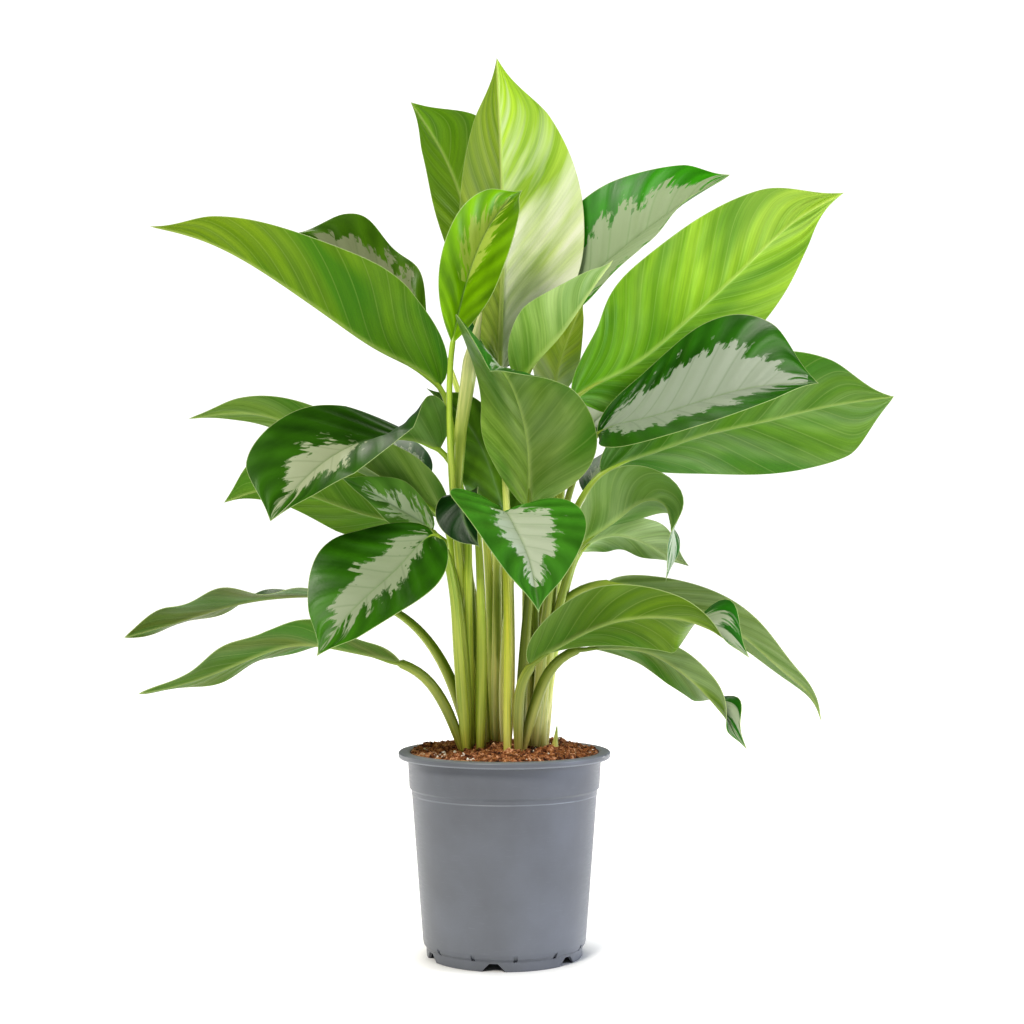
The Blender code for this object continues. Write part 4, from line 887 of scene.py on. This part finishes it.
# The profile turned round the axis. In a notch the foot ring's low edge is lifted by a trapezium
# of the angle; a slot pushes the wall in over a small patch.
def makePot(skin):
    profile = roundedProfile(pot["profile"], pot["rounding"])
    rise = np.abs(np.diff(profile, axis=0)).max(1)
    parts = np.maximum(1, np.ceil(rise / pot["rise"]).astype(int))
    profile = np.concatenate([np.linspace(a, b, n, endpoint=False) for a, b, n in
                              zip(profile[:-1], profile[1:], parts)] + [profile[-1:]])
    slotAt = np.radians(pot["slotTurn"] + np.arange(pot["slots"]) * 360 / pot["slots"] - 90)
    notchAt = np.radians(pot["notchTurn"] + np.arange(pot["notches"]) * 360 / pot["notches"] - 90)
    slotHalf, low, high = (
        pot[key] / 2 / pot["ringRadius"] for key in ("slotWidth", "notchWidth", "notchTop"))
    sloping = 1 + pot["slotEdge"]
    extra = [slotAt[:, None] + np.array([-sloping, -1, 1, sloping]) * slotHalf,
             notchAt[:, None] + np.array([-low, -high, high, low])]
    angle = np.concatenate([np.linspace(0, turn, pot["steps"], endpoint=False)]
                           + [x.ravel() % turn for x in extra])
    angle = np.unique(np.round(angle, 5))
    away = lambda places: np.abs((angle[:, None] - places + math.pi) % turn - math.pi).min(1)
    lift = pot["notchHeight"] * np.clip((low - away(notchAt)) / (low - high), 0, 1)
    radius = np.repeat(profile[:, :1], len(angle), 1)
    height = np.repeat(profile[:, 1:], len(angle), 1)
    rows = np.arange(len(profile))
    ring = ((profile[:, 0] > pot["ringInside"]) & (profile[:, 1] < pot["ringTop"])
            & (rows > len(profile) // 2))
    height = np.where(ring[:, None], np.maximum(height, lift[None]), height)
    outer = (profile[:, 1] > pot["slotLow"]) & (profile[:, 1] < pot["slotHigh"])
    outer = outer & (profile[:, 0] > pot["slotInside"]) & (rows > len(profile) // 3)
    pressed = np.clip((sloping * slotHalf - away(slotAt)) / (pot["slotEdge"] * slotHalf), 0, 1)
    radius = radius - pot["slotDeep"] * pressed * outer[:, None]
    rings = np.stack([radius * np.cos(angle), radius * np.sin(angle), height], -1)
    piece = meshPiece("nursery_pot", *closedRings(rings[0, 0], rings[1:-1], rings[-1, 0]), [skin],
                      sharpAbove=32)
    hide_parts("pot")
    return piece


# Polypropylene, injection moulded from recycled stock: satin from the mould's fine skin, a faintly
# cloudy grey, with level scuffs from stacking round the wall
def potSkin():
    made, tree = newMaterial("Polypropylene, moulded and satin")
    place = addNode(tree, "TexCoord").outputs["Object"]
    cloud = addNoise(tree, place, 1 / (60 * mm), 4)
    mixed = remap(tree, cloud, 0.3, 0.7)
    grey = mixColours(tree, mixed, linear(pot["grey"]), linear(pot["wearAndPaintedHighlight"]))
    flat = addNode(tree, "VectorMath", {0: place, 1: (1, 1, 12)}, operation="MULTIPLY")  # scuffs lie level
    scuff = addNoise(tree, flat, 1 / (14 * mm), 6, Roughness=0.7)
    lighter = remap(tree, scuff, 0.58, 0.78, 0, 0.22)
    scuffed = mixColours(tree, lighter, grey, linear("#8f939b"))
    # painted paler on top of the lip as painted light, and painted highlight lines along its edge and along
    # the step
    level = addNode(tree, "SeparateXYZ", {0: place}).outputs["Z"]
    low, high = pot["lipTop"]
    onLip = remap(tree, level, low * mm, high * mm, 0, 0.25)
    lipEdge, stepEdge = (compute(tree, "COMPARE", level, pot[key][0] * mm, pot[key][1] * mm)
                         for key in ("lipEdge", "stepEdge"))
    edges = compute(tree, "MAXIMUM", lipEdge, stepEdge)
    # the share of painted light on the lip and of the painted highlight lines
    wearAndPaintedHighlight = compute(tree, "MULTIPLY_ADD", edges, 0.2, onLip)
    # painted light from the table below: a little paler lower down and darker towards the top
    paintedBounce = remap(tree, level, 20 * mm, 175 * mm, 0.05, -0.08)
    brightness = compute(tree, "ADD", paintedBounce, 1)
    bounceLit = addNode(tree, "HueSaturation", {"Color": scuffed, "Value": brightness})
    highlighted = mixColours(tree, wearAndPaintedHighlight, bounceLit, linear("#b4b9c0"))
    gloss = remap(tree, scuff, 0.3, 0.75, 0.28, 0.46)
    peel = addNoise(tree, place, 1 / (1.2 * mm), 2)
    surfaced(tree, peel, 0.12, 0.0001, {"Base Color": highlighted, "Roughness": gloss, "IOR": 1.49})
    return made


# The potting soil: coir and peat with perlite
soil = dict(
    profile=[(16, 205.4), (32, 204.8), (48, 203.8), (64, 202.4), (78, 200.6), (88, 198.8), (93.4, 197.5)],
    middle=205.5, under=[(92, 166.2), (89.7, 162), (77.6, 14.6), (75.9, 11.8)], floor=11.8,
    heaps=[(50, 58, 6, 15), (-68, 34, 3.5, 18)],  # mm: x, y, height and width of two loose heaps
    lumps=[(9, 2.2), (4, 1.8), (1.9, 0.9)],  # mm: width and height of the lumps, in three sizes
    radius=93.4, wallAt=91, atWall=3, wallWide=8,  # mm: its edge, and how it rises against the pot's wall
    rings=72, steps=230,  # of its top, and faces round it
    bump=1.2, waves=(0.11, 0.13, 0.21), seed=11,  # mm; radians per mm along x, y and the diagonal
    dark="#371b0e", coir="#b0734a", pale="#f2c8a2")


# Height of the soil at a place, in mm: the mound, the part's low bumps as sines, small lumps of soft
# noise, and bells exp(-d^2) for the heaps and the rise at the wall
def soilTop(x, y):
    r = np.hypot(x, y)
    mound = np.interp(r, [0] + [p[0] for p in soil["profile"]],
                      [soil["middle"]] + [p[1] for p in soil["profile"]])
    alongX, alongY, across = soil["waves"]
    bumps = soil["bump"] * (np.sin(x * alongX + 0.6) * np.cos(y * alongY) + 0.5 * np.sin((x - y) * across))
    fade = np.clip(1 - (r / soil["radius"]) ** 4, 0, 1)
    lumps = sum(high * softNoise(x / wide, y / wide, seed + 1)
                for seed, (wide, high) in enumerate(soil["lumps"]))
    heaped = soil["atWall"] * np.exp(-((r - soil["wallAt"]) / soil["wallWide"]) ** 2)
    for hx, hy, high, wide in soil["heaps"]:
        heaped = heaped + high * np.exp(-((x - hx) ** 2 + (y - hy) ** 2) / wide ** 2)
    return mound + (bumps + lumps) * fade + heaped


# The soil: rings at soilTop's height from the middle to the wall, then down the inside of the pot to
# a flat floor, closed to a point at the middle above and below
def makeSoil(skin):
    r = np.concatenate([np.linspace(0, soil["radius"] - 0.6, soil["rings"]), [soil["radius"]],
                        [p[0] for p in soil["under"]], [0]])
    angle = np.linspace(0, turn, soil["steps"], endpoint=False)
    gridR, gridA = np.meshgrid(r, angle, indexing="ij")
    x, y = gridR * np.cos(gridA), gridR * np.sin(gridA)
    z = soilTop(x, y)
    z[soil["rings"] + 1:] = np.array([p[1] for p in soil["under"]] + [soil["floor"]])[:, None]
    rings = np.stack([x, y, z], -1)
    piece = meshPiece("potting_soil_bed", *closedRings(rings[0, 0], rings[1:-1], rings[-1, 0]), [skin],
                      sharpAbove=80)
    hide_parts("soil")
    return piece


# One lump: the 12 points and 20 faces of an icosahedron of radius 1
golden = (1 + 5 ** 0.5) / 2
lumpShape = unit(np.array([
    (-1, golden, 0), (1, golden, 0), (-1, -golden, 0), (1, -golden, 0), (0, -1, golden), (0, 1, golden),
    (0, -1, -golden), (0, 1, -golden), (golden, 0, -1), (golden, 0, 1), (-golden, 0, -1), (-golden, 0, 1)]))
lumpTriangles = np.array([(0, 11, 5), (0, 5, 1), (0, 1, 7), (0, 7, 10), (0, 10, 11), (1, 5, 9), (5, 11, 4),
                          (11, 10, 2), (10, 7, 6), (7, 1, 8), (3, 9, 4), (3, 4, 2), (3, 2, 6), (3, 6, 8),
                          (3, 8, 9), (4, 9, 5), (2, 4, 11), (6, 2, 10), (8, 6, 7), (9, 8, 1)])


# Random places on the soil: the radius is the square root of an even draw, so that they lie evenly
def soilPlaces(count, random, most=soil["wallAt"]):
    r, a = most * np.sqrt(random.uniform(0, 1, count)), random.uniform(0, turn, count)
    x, y = r * np.cos(a), r * np.sin(a)
    return np.stack([x, y, soilTop(x, y)], -1)


# The points of each of many items, an array (items, points, 3), turned by the items' own angles in
# one plane of two axes after another: x cos a - y sin a and x sin a + y cos a
def turned(points, turns):
    axes = list(points.transpose(2, 0, 1))
    for angle, one, other in turns:
        cos, sin = np.cos(angle)[:, None], np.sin(angle)[:, None]
        axes[one], axes[other] = axes[one] * cos - axes[other] * sin, axes[one] * sin + axes[other] * cos
    return np.stack(axes, -1)


# Lumps of these sizes in one mesh: each is stretched along three axes, its points are pushed in and
# out, and it is turned by three random angles
def makeLumps(name, look, places, size, random, skin):
    sizes = size[:, None] * random.uniform(*look["stretch"], (len(places), 3))
    shape = lumpShape * random.uniform(*look["push"], (len(places), 12, 1))
    a, b, c = random.uniform(0, turn, (3, len(places)))
    points = turned(shape * sizes[:, None], ((a, 1, 2), (b, 2, 0), (c, 0, 1))) + places[:, None]
    numbers = lumpTriangles[None] + 12 * np.arange(len(places))[:, None, None]
    return meshPiece(name, points.reshape(-1, 3), numbers.reshape(-1, 3), [skin],
                     sharpAbove=look["sharpAbove"])


# Coir crumbs: size in mm, and shares that vary it, stretch it and push its points
crumbs = dict(count=3200, size=(0.6, 1.5), varied=(0.7, 2.3), stretch=(0.6, 1.5), push=(0.75, 1.2),
              sharpAbove=40)


# Rough lumps, strewn evenly
def makeCrumbs(skin):
    random = np.random.default_rng(soil["seed"])
    places = soilPlaces(crumbs["count"], random)
    size = random.uniform(*crumbs["size"], len(places)) * random.uniform(*crumbs["varied"], len(places))
    return makeLumps("coir_crumbs", crumbs, places, size, random, skin)


# Perlite grains: as the crumbs; a share of them is heaped at x and y, each spread so far, in mm
perlite = dict(count=120, size=(0.8, 2.1), stretch=(0.75, 1.25), push=(0.8, 1.15), sharpAbove=60, raised=0.5,
               heaped=0.45, heap=[(-62, 14), (-48, 12)], within=88)


# Rounder lumps, a little above the soil, more of them front left as in the photo
def makePerlite(skin):
    random = np.random.default_rng(soil["seed"] + 1)
    places = soilPlaces(perlite["count"], random)
    near = random.uniform(0, 1, len(places)) < perlite["heaped"]
    places[near, :2] = np.stack([random.normal(*heap, near.sum()) for heap in perlite["heap"]], -1)
    r = np.maximum(1, np.hypot(places[:, 0], places[:, 1]) / perlite["within"])
    places[:, :2] /= r[:, None]
    places[:, 2] = soilTop(places[:, 0], places[:, 1]) + perlite["raised"]
    size = random.uniform(*perlite["size"], len(places))
    return makeLumps("perlite_grains", perlite, places, size, random, skin)


# Coir fibres: thickness and half length in mm, shares that vary the length, and how far they bend and
# tilt. thin is their thickness from end to end.
fibres = dict(count=2200, thick=(0.15, 0.36), long=(2, 7), varied=(0.8, 1.5), bend=0.5, tilt=0.5, raised=0.6,
              within=90, thin=(0.2, 0.9, 1, 1, 0.8, 0.15), colours=("#7a4520", "#b87a42", "#e6b27c"))


# Three-sided strands bent to a parabola, each a grid of 6 rings closed by a triangle at both ends
def makeFibres(skin):
    random = np.random.default_rng(soil["seed"] + 2)
    count = fibres["count"]
    places = soilPlaces(count, random, fibres["within"])
    places[:, 2] += fibres["raised"]
    t = np.linspace(-1, 1, 6)
    bend = random.uniform(-fibres["bend"], fibres["bend"], count)
    thick = random.uniform(*fibres["thick"], count)
    a = np.arange(3) * turn / 3
    shape = np.zeros((count, 6, 3, 3))
    shape[..., 0] = t[None, :, None]
    shape[..., 1] = bend[:, None, None] * (t ** 2)[None, :, None]
    long = random.uniform(*fibres["long"], count) * random.uniform(*fibres["varied"], count)
    ring = np.array(fibres["thin"])[:, None, None] * np.stack([np.cos(a), np.sin(a)], -1)
    shape[..., 1:] += (thick / long)[:, None, None, None] * ring
    number = np.arange(18).reshape(6, 3)
    number = np.concatenate([number, number[:, :1]], 1)
    triangles = np.concatenate([gridTriangles(number[:, ::-1]), [(0, 2, 1), (15, 16, 17)]])
    tilt = random.uniform(-fibres["tilt"], fibres["tilt"], count)
    spin = random.uniform(0, turn, count)
    shape = (shape * long[:, None, None, None]).reshape(count, 18, 3)
    points = turned(shape, ((tilt, 0, 2), (spin, 0, 1))) + places[:, None]
    numbers = triangles[None] + 18 * np.arange(count)[:, None, None]
    return meshPiece("coir_fibres", points.reshape(-1, 3), numbers.reshape(-1, 3), [skin])


# Coir and peat, shredded and mixed: rough, matt and crumbling, in patches of 6 mm from near black to
# rust and straw
def soilSkin(name="Coir and peat, loose", dark=soil["dark"], middle=soil["coir"], pale=soil["pale"]):
    made, tree = newMaterial(name)
    place = addNode(tree, "TexCoord").outputs["Object"]
    coarse = addNoise(tree, place, 1 / (6 * mm), 5, Roughness=0.7)
    colour = addNode(tree, "ValToRGB", {0: coarse}, stops=[(0.41, dark), (0.68, pale), (0.54, middle)])
    fine = addNoise(tree, place, 1 / (0.9 * mm), 3)
    surfaced(tree, fine, 0.8, 0.0006, {"Base Color": colour, "Roughness": 0.92, "IOR": 1.45})
    return made


# Perlite: volcanic glass popped by heat, a dull chalky white with brown dust in its pores
def perliteSkin():
    made, tree = newMaterial("Perlite, heat popped")
    place = addNode(tree, "TexCoord").outputs["Object"]
    dust = addNoise(tree, place, 1 / (1.5 * mm), 4)
    colour = addNode(tree, "ValToRGB", {0: dust}, stops=[(0.4, "#f3efe8"), (0.75, "#c9a98c")])
    surfaced(tree, dust, 0.6, 0.0003, {"Base Color": colour, "Roughness": 0.85, "IOR": 1.5})
    return made


# Camera and light: the photo's view, from 1.72 m off and 395 mm up, pitched up 1.47 degrees
view = dict(place=(7.5, -1720, 395), pitch=0.025574, focal=1720, image=1024)  # mm, radians, pixels
studio = dict(
    seen="#ffffff", around="#f0f3f5", power=0.22,  # the white backdrop, and the dimmer room that lights
    floor="#f2f2f1", floorGlow=0.48, floorSize=24, floorBelow=0.2,  # a lit white table, m wide and mm down
    glowFrom=75, glowFull=120,  # mm from the pot's axis: no glow under the pot
    aimHeight=0.45)  # m: what the lamps point at
lamps = {
    "key": dict(kind="SUN", place=(-0.9, -1.8, 2.4), size=0.3, power=2.0),
    "fill": dict(kind="AREA", place=(2.5, -0.4, 0.8), size=1.1, power=37, tint="#e2e9ff"),
    "rear": dict(kind="AREA", place=(-0.4, 1.7, 2.6), size=1.8, power=26),
    # two upright strips behind, whose reflections run down the pot's edges and along the leaves
    "left_strip": dict(kind="AREA", place=(-2.2, 1.4, 0.5), size=0.25, tall=1.4, power=9),
    "right_strip": dict(kind="AREA", place=(1.9, 1.85, 0.5), size=0.25, tall=1.4, power=9),
}


# The camera at its place, the two backgrounds mixed by whether a ray comes from the camera, lamps
# that aim at the middle of the plant, and the table
def makeStudio():
    scene = bpy.context.scene
    lens = bpy.data.cameras.new("photo_view")
    lens.sensor_width = 36
    lens.lens = 36 * view["focal"] / view["image"]
    camera = bpy.data.objects.new("photo_view", lens)
    camera.location = [c * mm for c in view["place"]]
    camera.rotation_euler = (math.pi / 2 + view["pitch"], 0, 0)
    scene.collection.objects.link(camera)
    scene.camera = camera
    scene.view_settings.view_transform = "Standard"
    scene.view_settings.look = "Medium High Contrast"
    world = bpy.data.worlds.new("pale_studio")
    scene.world = world
    world.use_nodes = True
    tree = world.node_tree
    tree.nodes.clear()
    room = addNode(tree, "Background", {0: linear(studio["around"]), 1: studio["power"]})
    backdrop = addNode(tree, "Background", {0: linear(studio["seen"]), 1: 1})
    seen = addNode(tree, "LightPath").outputs["Is Camera Ray"]
    addNode(tree, "OutputWorld", {"Surface": addNode(tree, "MixShader", {0: seen, 1: room, 2: backdrop})})
    for name, lamp in lamps.items():
        light = bpy.data.lights.new("lamp_" + name, lamp["kind"])
        light.energy = lamp["power"]
        light.color = linear(lamp.get("tint", "#fffaf2"))[:3]
        if lamp["kind"] == "SUN":
            light.angle = lamp["size"]
        else:
            light.shape, light.size = "RECTANGLE" if "tall" in lamp else "DISK", lamp["size"]
            light.size_y = lamp.get("tall", lamp["size"])
        source = bpy.data.objects.new("lamp_" + name, light)
        place = np.array(lamp["place"])
        source.location = place
        aim = np.array((0, 0, studio["aimHeight"])) - place
        source.rotation_euler = (
            math.atan2(math.hypot(aim[0], aim[1]), -aim[2]), 0, math.atan2(-aim[0], aim[1]))
        scene.collection.objects.link(source)
    # white acrylic table, lit from below, faintly mottled
    made, tree = newMaterial("Studio table, lit acrylic")
    place = addNode(tree, "TexCoord").outputs["Object"]
    mottle = addNoise(tree, place, 3, 3)
    colour = addNode(tree, "ValToRGB", {0: mottle}, stops=[(0.3, studio["floor"]), (0.7, "#f6f6f5")])
    away = addNode(tree, "VectorMath", {0: place}, operation="LENGTH")
    glow = remap(tree, away, studio["glowFrom"] * mm, studio["glowFull"] * mm, 0, studio["floorGlow"])
    surface = addNode(tree, "BsdfPrincipled", {
        "Base Color": colour, "Roughness": 0.9, "Emission Strength": glow,
        "Emission Color": linear(studio["seen"])})
    addNode(tree, "OutputMaterial", {"Surface": surface})
    half, down = studio["floorSize"] / 2 / mm, -studio["floorBelow"]
    square = np.array([(-half, -half, down), (half, -half, down), (half, half, down), (-half, half, down)])
    meshPiece("studio_floor", square, np.array([(0, 1, 2), (0, 2, 3)]), [made])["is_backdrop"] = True


print("studio and camera")
makeStudio()
print("leaf blades:", len(leaves))
leafSkins = [upperSkin(), underSkin()]
for seed, (name, leaf) in enumerate(leaves.items()):
    makeBlade(name, leaf, seed + 1, leafSkins)
print("stalks and canes:", len(shoots))
stalkMaterial = stalkSkin()
for name, shoot in shoots.items():
    makeShoot(name, shoot, stalkMaterial)
print("pot")
makePot(potSkin())
print("soil, crumbs, fibres and perlite")
loose = soilSkin()
fibrous = soilSkin("Coir fibre, loose", *fibres["colours"])
for piece in (makeSoil(loose), makeCrumbs(loose), makeFibres(fibrous), makePerlite(perliteSkin())):
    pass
for piece in bpy.context.scene.objects:
    if piece.type == "MESH" and piece.parent is None and piece.name != "studio_floor":
        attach(piece, "root")

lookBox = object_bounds()
{name: [list(corner) for corner in box] for name, box in (("cad", cadBox), ("visual", lookBox))}
print("size", [round(high - low, 4) for low, high in zip(*lookBox)])
